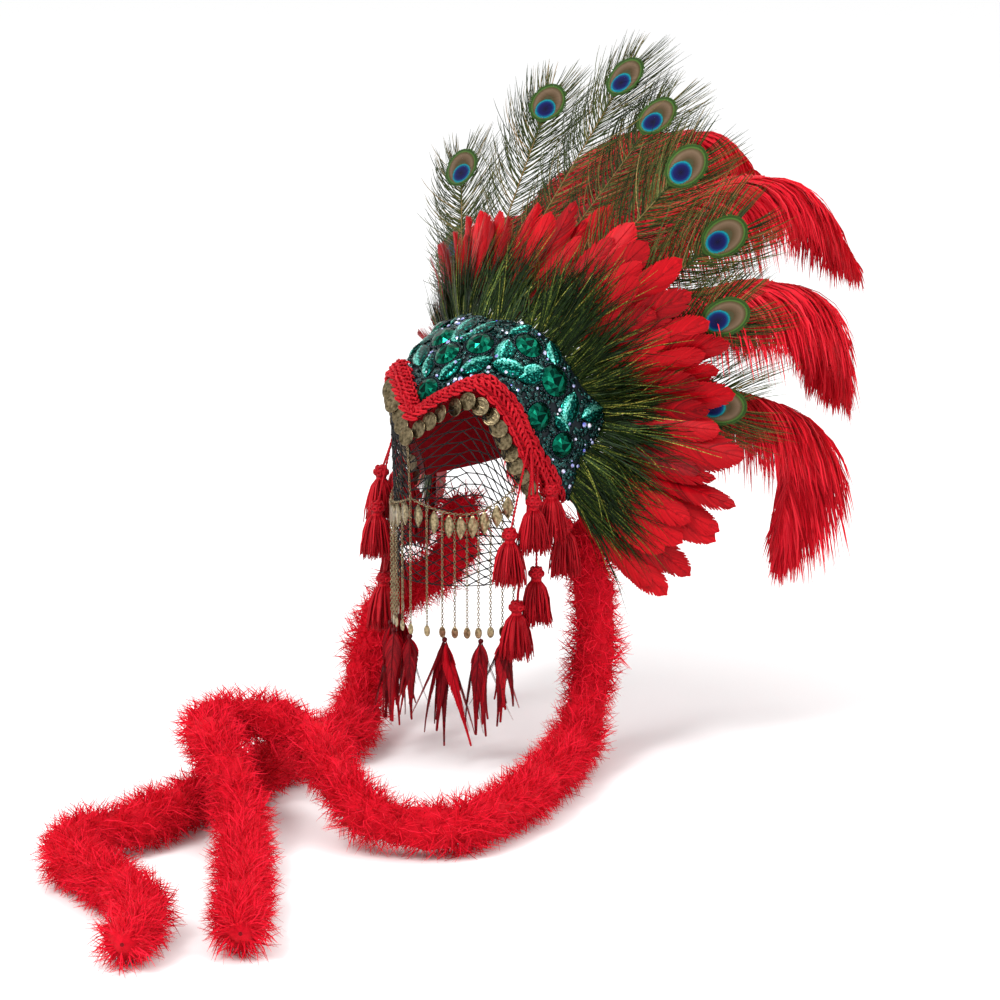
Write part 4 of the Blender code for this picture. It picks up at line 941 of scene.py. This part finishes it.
def chain(sheaf, path):
    """Links along a line of points, every second one turned by a quarter."""
    steps = run_along(path)
    count = max(2, round(steps[-1] / link_pitch))
    at = (np.arange(count) + 0.5) / count * steps[-1]
    spot = np.stack([np.interp(at, steps, path[:, k]) for k in range(3)], axis=1)
    way = unit(np.gradient(spot, axis=0))
    flat = unit(np.cross(way, unit(spot * (1, 1, 0))))
    quarter = (np.arange(count) % 2)[:, None]
    y = unit(np.where(quarter, flat, np.cross(flat, way)))
    stamp(sheaf, link_shape, spot, way, y, np.cross(way, y))


chains = Sheaf()
chain(chains, swag_point(np.linspace(-1, 1, 200)))
chain(chains, np.concatenate([net_point(0.0, 0.0, chain_gap), swag_point(0.0)]))
places = np.arange(-per_side, per_side + 1) / (per_side + 0.3)
starts = swag_point(places)
uneven = 1.0 - 0.06 * (np.round(np.abs(places) * 50) % 3)
ends_z = starts[:, 2] + (-chain_drop - starts[:, 2]) * uneven
charm_shape = turned([(0.0, 0.09), (0.35, 0.09), (0.6, 0.05), (0.85, 0.08), (1.0, 0.04), (1.0, -0.04),
                      (0.0, -0.05)], 12)
for start, low in zip(starts, ends_z):
    bottom = np.array((start[0], start[1], low))
    chain(chains, np.stack([start, bottom + (0, 0, 0.008)]))
    out = unit(start * (1, 1, 0))
    charm = (bottom + (0, 0, 0.004))[None]
    stamp(chains, charm_shape, charm, np.cross(out, (0, 0, 1.0)), (0, 0, 1.6), out, charm_radius)
s = np.linspace(0, 1, 9)
leaf_drop_width = (leaf_drop_half * np.sin(np.pi * np.clip(s, 0.02, 0.98)) ** 0.8 * (1.15 - 0.3 * s))[:, None]
for middle in (places[:-1] + places[1:]) / 2:
    if 0.06 < abs(middle) < 0.94:
        top = swag_point(middle)[0]
        out = unit(top * (1, 1, 0))
        side = np.cross(out, (0, 0, 1.0))
        spine = top + out * 0.0012 - (0.002 + s * leaf_drop_long)[:, None] * (0, 0, 1.0)
        edge = side * leaf_drop_width
        front = np.stack([spine - edge, spine + out * 0.0009, spine + edge])
        skin(chains, front, front - out * 0.0006)
chains.make("chain_links", old_brass, ["chain_veil"])

# %% [markdown]
# A goose feather is a quill with a closed vane of barbs that lean towards the tip, and a row of
# them is sewn to a tape. A flat card with a bump map has no splits. Every vane here is made of
# overlapping barbs, each a ribbon from the quill to the edge, with a few left short.

# %% One vaned feather
round_tip = ([0.10, 0.25, 0.62, 0.80, 0.88, 0.94, 0.98, 1.0], [0.35, 0.78, 1.0, 0.97, 0.88, 0.68, 0.38, 0.08])
long_point = ([0.05, 0.12, 0.25, 0.40, 0.60, 0.80, 1.0], [0.55, 0.90, 1.0, 0.80, 0.42, 0.18, 0.03])


def vaned(sheaf, base, way, side, out, length, half_width, rng, barbs, curl, cup, tone,
          outline=round_tip, start=0.10):
    """Adds a feather: way is along the quill, side across it, out the face that shows."""
    bend = rng.normal(0, 0.03)
    s = np.linspace(0, 1, 12)
    quill = base + way * (s * length)[:, None] + side * (bend * length * s**2)[:, None]
    quill += out * (curl * length * (s**2 - 0.3 * s))[:, None]
    tubes(sheaf, quill[None] + out * 0.0006, (half_width * 0.066 * (1 - 0.8 * s))[None], 5, side, tone * 0.6)
    at = np.linspace(start, 0.99, barbs)
    rise = 0.16 * np.minimum(1.0, (1.0 - at) / 0.2) + 0.008
    profile = np.interp(at + rise, *outline) * half_width
    split = np.where(rng.random(barbs) < 0.05, 0.8, 1.0)
    width = np.minimum(length / barbs * 1.4, half_width * 0.27) * np.array([0.95, 1.1, 0.95, 0.35])
    t = np.linspace(0, 1, 4)[None, :]
    lead = at[:, None] + t * (0.75 + 0.25 * t) * rise[:, None]
    centre = np.stack([np.interp(lead, s, quill[:, k]) for k in range(3)], axis=-1)
    for sign in (-1, 1):
        own = profile * rng.uniform(0.94, 1.03, barbs) * split[::sign]
        spread_out = own[:, None] * t**0.9
        sunk = cup * spread_out * t + 0.0002 * rng.random((barbs, 1))
        paths = centre + side * (sign * spread_out)[..., None] - out * sunk[..., None]
        ribbons(sheaf, paths, width, out, tone + rng.normal(0, 0.10, barbs))


# %% Goose rows
def goose_row(name, node_name, count, length, lean, depth, half_width, seed, edge):
    rng = np.random.default_rng(seed)
    sheaf = Sheaf()
    for u in fan_places(np.linspace(-edge, edge, count) + rng.normal(0, 0.006, count), 0.06):
        base, way, side, out = (a[0] for a in fan_frame(np.clip(u, -1, 1)))
        own_way = unit(way + side * rng.normal(0, 0.06) + out * (lean + rng.normal(0, 0.02)))
        own_out = unit(out - own_way * (out @ own_way) + side * rng.normal(0, 0.16))
        own_length, own_half = length * rng.uniform(0.84, 1.07), half_width * rng.uniform(0.85, 1.1)
        curl, cup, tone = rng.uniform(-0.02, 0.12), rng.uniform(0.1, 0.5), rng.uniform(0.1, 0.75)
        vaned(sheaf, base + way * 0.002 - out * depth, own_way, np.cross(own_way, own_out), own_out,
              own_length, own_half, rng, 46, curl, cup, tone)
    sheaf.make(name, red_goose, [node_name])


goose_row("goose_feathers_rear", "goose_rear", 36, 0.152, 0.02, 0.0045, 0.0165, 51, 0.97)
goose_row("goose_feathers_front", "goose_front", 36, 0.126, 0.08, 0.0025, 0.0145, 52, 0.985)

# %% [markdown]
# In front of the goose stands a thick fringe of herl, the loose side barbs of peacock feathers:
# dark, bronze green, and crossing one another. Hair particles would do it, but the export needs
# faces. Here short bunches share a direction, and every strand in a bunch strays from it a
# little.

# %% Herl fringe
herl_widths = np.array([0.0008, 0.0011, 0.0011, 0.0008, 0.0003])


def herl(name, count, bunches, length, seed, nodes):
    rng = np.random.default_rng(seed)
    bunch_u = fan_places(rng.uniform(-0.985, 0.985, bunches), 0.02)
    bunch_side, bunch_out = rng.normal(0, 0.16, bunches), rng.uniform(0.03, 0.30, bunches)
    bunch_long = rng.uniform(0.55, 1.06, bunches)
    pick = rng.integers(0, bunches, count)
    base, way, side, out = fan_frame(np.clip(bunch_u[pick] + rng.normal(0, 0.010, count), -0.99, 0.99))
    sideways = (bunch_side[pick] + rng.normal(0, 0.07, count))[:, None]
    outward = (bunch_out[pick] + rng.normal(0, 0.03, count))[:, None]
    own = unit(way + side * sideways + out * outward)
    long = (length * bunch_long[pick] * rng.uniform(0.62, 1.06, count))[:, None, None]
    bend = rng.normal(0, 0.15, count)[:, None, None]
    s = np.linspace(0, 1, len(herl_widths))[None, :, None]
    paths = base[:, None] + own[:, None] * s * long
    paths += (side[:, None] * bend - out[:, None] * 0.10) * long * s**2
    sheaf = Sheaf()
    ribbons(sheaf, paths, herl_widths, unit(out + rng.normal(0, 0.5, out.shape)), rng.beta(1.6, 2.4, count))
    sheaf.make(name, herl_green_and_glint, nodes)


herl("herl_strands", 3000, 190, 0.124, 61, ["herl_fringe"])
herl("herl_under_layer", 1500, 500, 0.062, 62, [])

# %% [markdown]
# A peacock feather has a thin quill, long loose barbs that sweep back, and at its end a flat
# eye in rings of blue, teal, bronze and green. A picture would give the rings, but the piece
# uses no pictures: each dense barb of the eye stores how far it is from the middle, and a colour
# ramp turns that into rings.

# %% Peacock feathers
peacock_length = 0.260
row_pitch = 0.0013 + soft_gap
# name, place along the fan, length, and whether it stands in the rear row
PEACOCKS = [("right_5", -0.700, 0.50, 0), ("right_4", -0.575, 0.76, 1), ("right_3", -0.440, 0.93, 0),
            ("right_2", -0.250, 1.12, 1), ("right_1", -0.090, 1.25, 0), ("left_1", 0.070, 1.12, 1),
            ("left_2", 0.250, 0.88, 0), ("left_3", 0.450, 0.78, 1), ("left_4", 0.590, 0.62, 0),
            ("left_5", 0.720, 0.46, 1)]
barb_widths = np.array([0.0009, 0.0010, 0.0009, 0.0009, 0.0008, 0.0007, 0.0007, 0.0006, 0.0002])
# the eye: an egg of half width, half height and middle, whose barbs climb at a slope
eye_wide, eye_tall, eye_middle, eye_slope = 0.0195, 0.0262, 0.0030, 0.55
eye_barbs, eye_steps, eye_barb_width = 92, 15, 0.0011


def eye_value(x, y):
    """0 in the blue middle to 1 at the green edge; x across, y towards the tip, in metres."""
    blue = np.hypot(x / 0.0096, (y + 0.006) / 0.0110)
    whole = np.hypot(x / eye_wide, (y - eye_middle) / eye_tall)
    ring = np.clip(blue * 0.30, 0, 0.37)
    return np.where(blue < 1.22, ring, 0.38 + 0.62 * np.clip((whole - 0.35) / 0.72, 0, 1))


def eye_outline(at):
    """How far across a barb that starts at a height meets the egg."""
    a = 1 / eye_wide**2 + eye_slope**2 / eye_tall**2
    b = eye_slope * (at - eye_middle) / eye_tall**2
    inside = b**2 - a * (((at - eye_middle) / eye_tall) ** 2 - 1)
    return np.where(inside > 0, np.maximum((np.sqrt(np.maximum(inside, 0.0)) - b) / a, 0.0005), 0.0005)


for k, (name, u, share, layer) in enumerate(PEACOCKS):
    rng = np.random.default_rng(70 + k)
    base, way, side, out = (a[0] for a in fan_frame(u))
    length = peacock_length * share
    axis = unit(way - out * (0.04 + 0.05 * layer))
    turned_out = out + np.array((0.75, -0.66, 0.0)) * (2.0 if u < -0.2 else 0.4)
    face = unit(turned_out - axis * (turned_out @ axis))
    across = np.cross(axis, face)
    start = base + way * 0.002 - out * (0.0003 + 3 * row_pitch + 0.0013)
    s = np.linspace(0, 1, 16)
    shaft = Sheaf()
    quill = start + axis * (s * length * 1.10)[:, None]
    tubes(shaft, quill[None], (0.0013 * (1 - 0.75 * s))[None], 6, face, 0.95)
    count = int(150 * share) + 60
    far = np.linspace(0.20, 1.06, count)
    at = far * length
    t = np.linspace(0, 1, len(barb_widths))[None, :]
    for sign in (-1.0, 1.0):
        long = np.interp(far, [0.2, 0.5, 0.85, 1.0, 1.06], [0.060, 0.085, 0.088, 0.060, 0.042])
        long = (long * rng.uniform(0.70, 1.10, count))[:, None]
        angle = np.interp(far, [0.2, 0.7, 0.9, 1.06], [0.80, 0.74, 0.62, 0.36]) + rng.normal(0, 0.05, count)
        angle = (angle + 0.12 * np.sin(np.arange(count) * 0.9 + 7 * k))[:, None]
        forward = np.cos(angle) * t + 0.24 * t**2
        sideways = np.sin(angle) * (1.08 * t + rng.normal(-0.26, 0.07, count)[:, None] * t**2)
        drift = rng.normal(0, 0.06, count)[:, None] * t**2 - 0.16 * t**2
        paths = start + axis * (at[:, None] + forward * long)[..., None]
        paths = paths + across * (sign * sideways * long)[..., None] + face * (drift * long)[..., None]
        keep = rng.random(count) < np.interp(far, [0.0, 0.5, 0.8, 1.0], [0.5, 0.6, 0.95, 1.0])
        keep &= np.abs(at - length) > 0.002
        facing = unit(face + rng.normal(0, 0.35, (keep.sum(), 3)))
        ribbons(shaft, paths[keep], barb_widths, facing, rng.beta(2, 2, keep.sum()))
    shaft.make("peacock_barbs_" + name, barb_green, ["peacock_" + name])
    eye = Sheaf()
    at = np.linspace(-0.046, 0.0285, eye_barbs)
    t = np.linspace(0, 1, eye_steps)[None, :]
    for sign in (-1.0, 1.0):
        x = eye_outline(at)[:, None] * t * rng.uniform(0.96, 1.10, (eye_barbs, 1))
        y = at[:, None] + eye_slope * x
        lift = 0.0012 + 0.0004 * rng.random((eye_barbs, 1)) - 0.06 * x * t
        path = start + axis * (length + y)[..., None] + face * lift[..., None]
        path = path + across * (sign * x)[..., None]
        ribbons(eye, path, np.full(eye_steps, eye_barb_width), face)
        eye.tone[-1] = np.repeat(eye_value(x, y).ravel(), 2)
    eye.make("peacock_eye_" + name, eye_colours, smooth=False)

# %% [markdown]
# Ostrich plumes arch back and hang over at the tip. Their barbs are long and limp and fall to
# both sides like a curtain. Every barb here is a small group of ribbons that leave the quill
# sideways, lean towards the tip and then drop under their own weight.

# %% Ostrich plumes
ostrich_length, quill_steps, barbs, strands = 0.480, 60, 230, 7
plume_widths = np.array([0.0014, 0.0021, 0.0023, 0.0021, 0.0016, 0.0003])
# name, place along the fan, then three points of the arch as shares of the length
OSTRICHES = [("right_3", -0.660, -0.15, 0.24, 0.03, -0.24, 0.42, -0.04, -0.23, 0.42, -0.28),
             ("right_2", -0.400, -0.16, 0.28, 0.14, -0.24, 0.50, 0.16, -0.26, 0.64, -0.06),
             ("right_1", -0.170, -0.06, 0.31, 0.20, -0.11, 0.68, 0.32, -0.13, 0.92, 0.18),
             ("centre", -0.010, 0.01, 0.31, 0.20, 0.02, 0.61, 0.35, 0.03, 0.81, 0.25),
             ("left_1", 0.160, 0.08, 0.29, 0.18, 0.13, 0.66, 0.26, 0.16, 0.90, 0.06),
             ("left_2", 0.400, 0.17, 0.27, 0.11, 0.24, 0.48, 0.10, 0.25, 0.62, -0.12),
             ("left_3", 0.640, 0.12, 0.23, 0.00, 0.22, 0.40, -0.10, 0.20, 0.39, -0.36)]
for k, (name, u, *places) in enumerate(OSTRICHES):
    rng = np.random.default_rng(90 + k)
    base, way, side, out = (a[0] for a in fan_frame(u))
    depth = 0.0003 + 3 * row_pitch + 0.0016
    first = base + way * 0.002 - out * depth
    second = base + way * 0.0725 - out * (depth + 0.0216)
    arch = [first + np.array(places[j:j + 3]) * ostrich_length for j in (0, 3, 6)]
    path = smooth_route([first, second] + arch, quill_steps)
    axis = unit(np.gradient(path, axis=0))
    across = unit(np.array((1.0, 0, 0)) - axis * axis[:, :1])
    upward = np.cross(across, axis)
    plume = Sheaf()
    tubes(plume, path[None], (0.0016 * np.linspace(1, 0.3, quill_steps))[None], 6, (1.0, 0, 0), 0.3)
    at = np.linspace(0.16 if abs(u) < 0.3 else 0.26, 1.0, barbs) * (quill_steps - 1)
    sway = np.cumsum(rng.normal(0, 0.05, (2, barbs)), axis=1)
    t = np.linspace(0, 1, len(plume_widths))[None, :, None]
    for row, sign in enumerate((-1.0, 1.0)):
        spot = np.clip(np.repeat(at, strands) + rng.normal(0, 0.3, barbs * strands), 0, quill_steps - 1)
        low = np.minimum(spot.astype(int), quill_steps - 2)
        centre = path[low] + (path[low + 1] - path[low]) * (spot - low)[:, None]
        far = spot / (quill_steps - 1)
        long = np.interp(far, [0.16, 0.26, 0.45, 0.65, 0.85, 1.0], [0.050, 0.080, 0.130, 0.115, 0.068, 0.034])
        long = (long * rng.uniform(0.65, 1.05, len(spot)))[:, None]
        lean = np.repeat(sway[row] - sway[row].mean(), strands) * 0.5
        angle = np.interp(far, [0.1, 0.6, 0.9, 1.0], [0.95, 0.90, 0.65, 0.15]) + lean.clip(-0.25, 0.25)
        angle = (angle + rng.normal(0, 0.06, len(spot)))[:, None]
        straight = axis[low] * np.cos(angle) + across[low] * (sign * np.sin(angle)) + upward[low] * 0.25
        paths = centre[:, None] + (straight * long)[:, None] * (t - 0.38 * t**2.2)
        droop = 0.50 + 0.45 * rng.random((len(spot), 1))
        paths[..., 2] -= long * droop * t[..., 0] ** 1.7
        paths += rng.normal(0, 0.0035, (len(spot), 1, 3)) * t**2
        facing = unit(upward[low] + rng.normal(0, 0.4, straight.shape))
        ribbons(plume, paths, plume_widths, facing, 0.1 + 0.85 * rng.random(len(spot)))
    plume.make("ostrich_barbs_" + name, red_ostrich, ["ostrich_" + name])

# %% [markdown]
# Small cock hackles hang in tufts below the chains: narrow, pointed, with a dark middle. They
# are made as the goose feathers are, but slim and limp, a few to a tuft, hung tip down.

# %% Hackle tufts
for k in range(7):
    rng = np.random.default_rng(120 + k)
    name = "hackle_tuft_%d" % (k + 1)
    low, high = (np.array(c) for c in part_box(name))
    top = np.array(((low[0] + high[0]) / 2, (low[1] + high[1]) / 2, high[2]))
    long = high[2] - low[2]
    tuft = Sheaf()
    stamp(tuft, bead_shape, (top - (0, 0, 0.004))[None], *upright, 0.0032, 0.2)
    for j in range(10):
        turn = 2 * math.pi * j / 10 + rng.normal(0, 0.3)
        out = np.array((math.cos(turn), math.sin(turn), 0.0))
        way = unit(np.array((0, 0, -1.0)) + out * rng.uniform(0.06, 0.42))
        face = unit(out - way * (out @ way))
        own_long, half = long * rng.uniform(0.72, 0.98), rng.uniform(0.0065, 0.0100)
        curl, tone = rng.uniform(-0.25, 0.15), rng.uniform(0.35, 0.95)
        vaned(tuft, top - (0, 0, 0.003), way, np.cross(way, face), face,
              own_long, half, rng, 36, curl, 0.3, tone, long_point, 0.06)
    tuft.make("hackles_%d" % (k + 1), hackle_red, [name])

# %% [markdown]
# The tassels are rayon: a plaited loop, a wrapped head and a skirt of straight threads. A cone
# with a bump would have a hard rim. The skirt here is some hundred threads that leave the neck,
# swell round the head's lower edge and end at slightly different lengths.

# %% Tassels
tassel_length, cord_strand, petal_radius, binding_radius = 0.050, 0.0008, 0.0011, 0.0050
skirt_threads, skirt_widths = 190, np.array([0.0008, 0.0011, 0.0011, 0.0010, 0.0005])
skirt_reach = np.array([0.0045, 0.0105, 0.0138, 0.0160, 0.0178])
skirt_falls = np.array([0.0075, 0.016, 0.028, 0.042, 0.056])
# place along the braid, then outward, forward and down in tassel lengths
TASSELS = [(0.68, 0.27, 0.20, 0.96), (0.64, 0.01, 0.55, 1.78), (0.80, 0.19, -0.10, 0.42),
           (0.76, 0.10, 0.14, 2.24), (0.71, -0.03, 0.46, 3.08), (0.93, 0.15, -0.25, 0.74)]
tassel_head = turned([(0.0, 0.0070), (0.0040, 0.0060), (0.0072, 0.0020), (0.0074, -0.0018), (0.0054, -0.0058),
                      (0.0046, -0.0085), (0.0, -0.0090)], 14, 7, 0.05)


def make_tassel(name, node_name, start, knot, twists, rng):
    tassel = Sheaf()
    t = np.linspace(0, 1, 24)
    line = start + (knot - start) * t[:, None]
    for phase in (0.0, 2.1, 4.2):
        plait = line + ellipse(t * twists + phase, 0.0008, 0.0008)
        tubes(tassel, plait[None], np.full(24, cord_strand), 5, (0.3, 1.0, 0.2), 0.6)
    stamp(tassel, tassel_head, knot[None], *upright, 1.0, 0.35)
    petal = ellipse(np.linspace(0, 2 * np.pi, 9), 0.0024, 0.0021)
    for height, size, number in ((0.0035, 0.0050, 6), (-0.0012, 0.0072, 8)):
        for j in range(number):
            around = 2 * math.pi * (j + height * 300) / number
            outward = np.array((math.cos(around), math.sin(around), 0.15))
            axes = np.array(((-math.sin(around), math.cos(around), 0.0), (0, 0, 1.0), outward))
            loop = knot + (0, 0, height) + outward * size + petal @ axes
            tubes(tassel, loop[None], np.full(9, petal_radius), 5, outward, rng.uniform(0.4, 0.8))
    for height in (-0.0052, -0.0064, -0.0076):
        ring = knot + ellipse(np.linspace(0, 2 * np.pi, 25), binding_radius, binding_radius, height)
        tubes(tassel, ring[None], np.full(25, 0.0007), 5, (0, 0, 1.0), 0.8)
    count = skirt_threads
    turn = rng.uniform(0, 2 * np.pi, count)
    deep = np.sqrt(rng.random(count))[:, None]
    s = np.linspace(0, 1, len(skirt_reach))
    reach = skirt_reach * deep * rng.uniform(0.85, 1.1, (count, 1))
    falls = skirt_falls * rng.uniform(0.84, 1.0, (count, 1))
    reach = reach + rng.normal(0, 0.0006, (count, 1)) * s
    threads = knot + ellipse(turn, 1.0, 1.0)[:, None] * reach[..., None]
    threads[..., :2] += rng.normal(0, 0.0009, (count, len(s), 2)) * s[None, :, None]
    threads[..., 2] -= falls
    tubes(tassel, threads, skirt_widths, 3, (0.3, 1.0, 0.2), 0.2 + 0.75 * rng.random(count))
    tassel.make(name, red_thread, [node_name])


for word, sign in (("right", -1.0), ("left", 1.0)):
    for k, (u, outward, forward, drop) in enumerate(TASSELS):
        braid_front = braid_thickness - wall + fit_gap
        start = edge_point(sign * u, braid_on_band - braid_width * 0.7, braid_front + 0.0016)[0]
        knot = start + np.array((sign * outward, -forward, -drop)) * tassel_length
        rng = np.random.default_rng(140 + k)
        place = "%s_%d" % (word, k + 1)
        make_tassel("tassel_threads_" + place, "tassel_" + place, start, knot, drop * 40, rng)

# %% [markdown]
# A pale sweep of paper is the floor and the backdrop at once. Large soft lamps from the front
# left and from above keep the shadows faint, and an even pale world fills them.

# %% Floor and light
bpy.ops.mesh.primitive_plane_add(size=60.0, location=(0.0, 0.0, floor_z))
floor = bpy.context.object
floor.name = "floor"
paper, paper_shader = shader_of("pale_paper", 0.9)
paper_shader.inputs["Base Color"].default_value = (0.93, 0.93, 0.93, 1.0)
floor.data.materials.append(paper)
floor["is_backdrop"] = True

bpy.context.scene.view_settings.view_transform = "Standard"
world = bpy.data.worlds.new("pale_world")
bpy.context.scene.world = world
world.use_nodes = True
world.node_tree.nodes["Background"].inputs["Color"].default_value = (1.0, 1.0, 1.0, 1.0)
world.node_tree.nodes["Background"].inputs["Strength"].default_value = 1.02


def lamp(name, place, target, size, power):
    data = bpy.data.lights.new(name, "AREA")
    data.shape = "SQUARE"
    data.size = size
    data.energy = power
    made = placed(name, data)
    made.location = place
    made.rotation_mode = "QUATERNION"
    made.rotation_quaternion = (Vector(place) - Vector(target)).to_track_quat("Z", "Y")


lamp("key_lamp", (0.2, -3.0, 2.8), (0.0, 0.1, -0.1), 1.2, 105.0)
lamp("fill_lamp", (3.6, -0.4, 1.8), (0.0, 0.1, -0.1), 2.0, 30.0)
lamp("top_lamp", (0.2, 1.2, 3.2), (0.0, 0.1, -0.1), 2.0, 30.0)
print("lamps ready")

# %% Sizes and finish
low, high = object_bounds()
print("visual box", [round(c, 3) for c in low], [round(c, 3) for c in high])
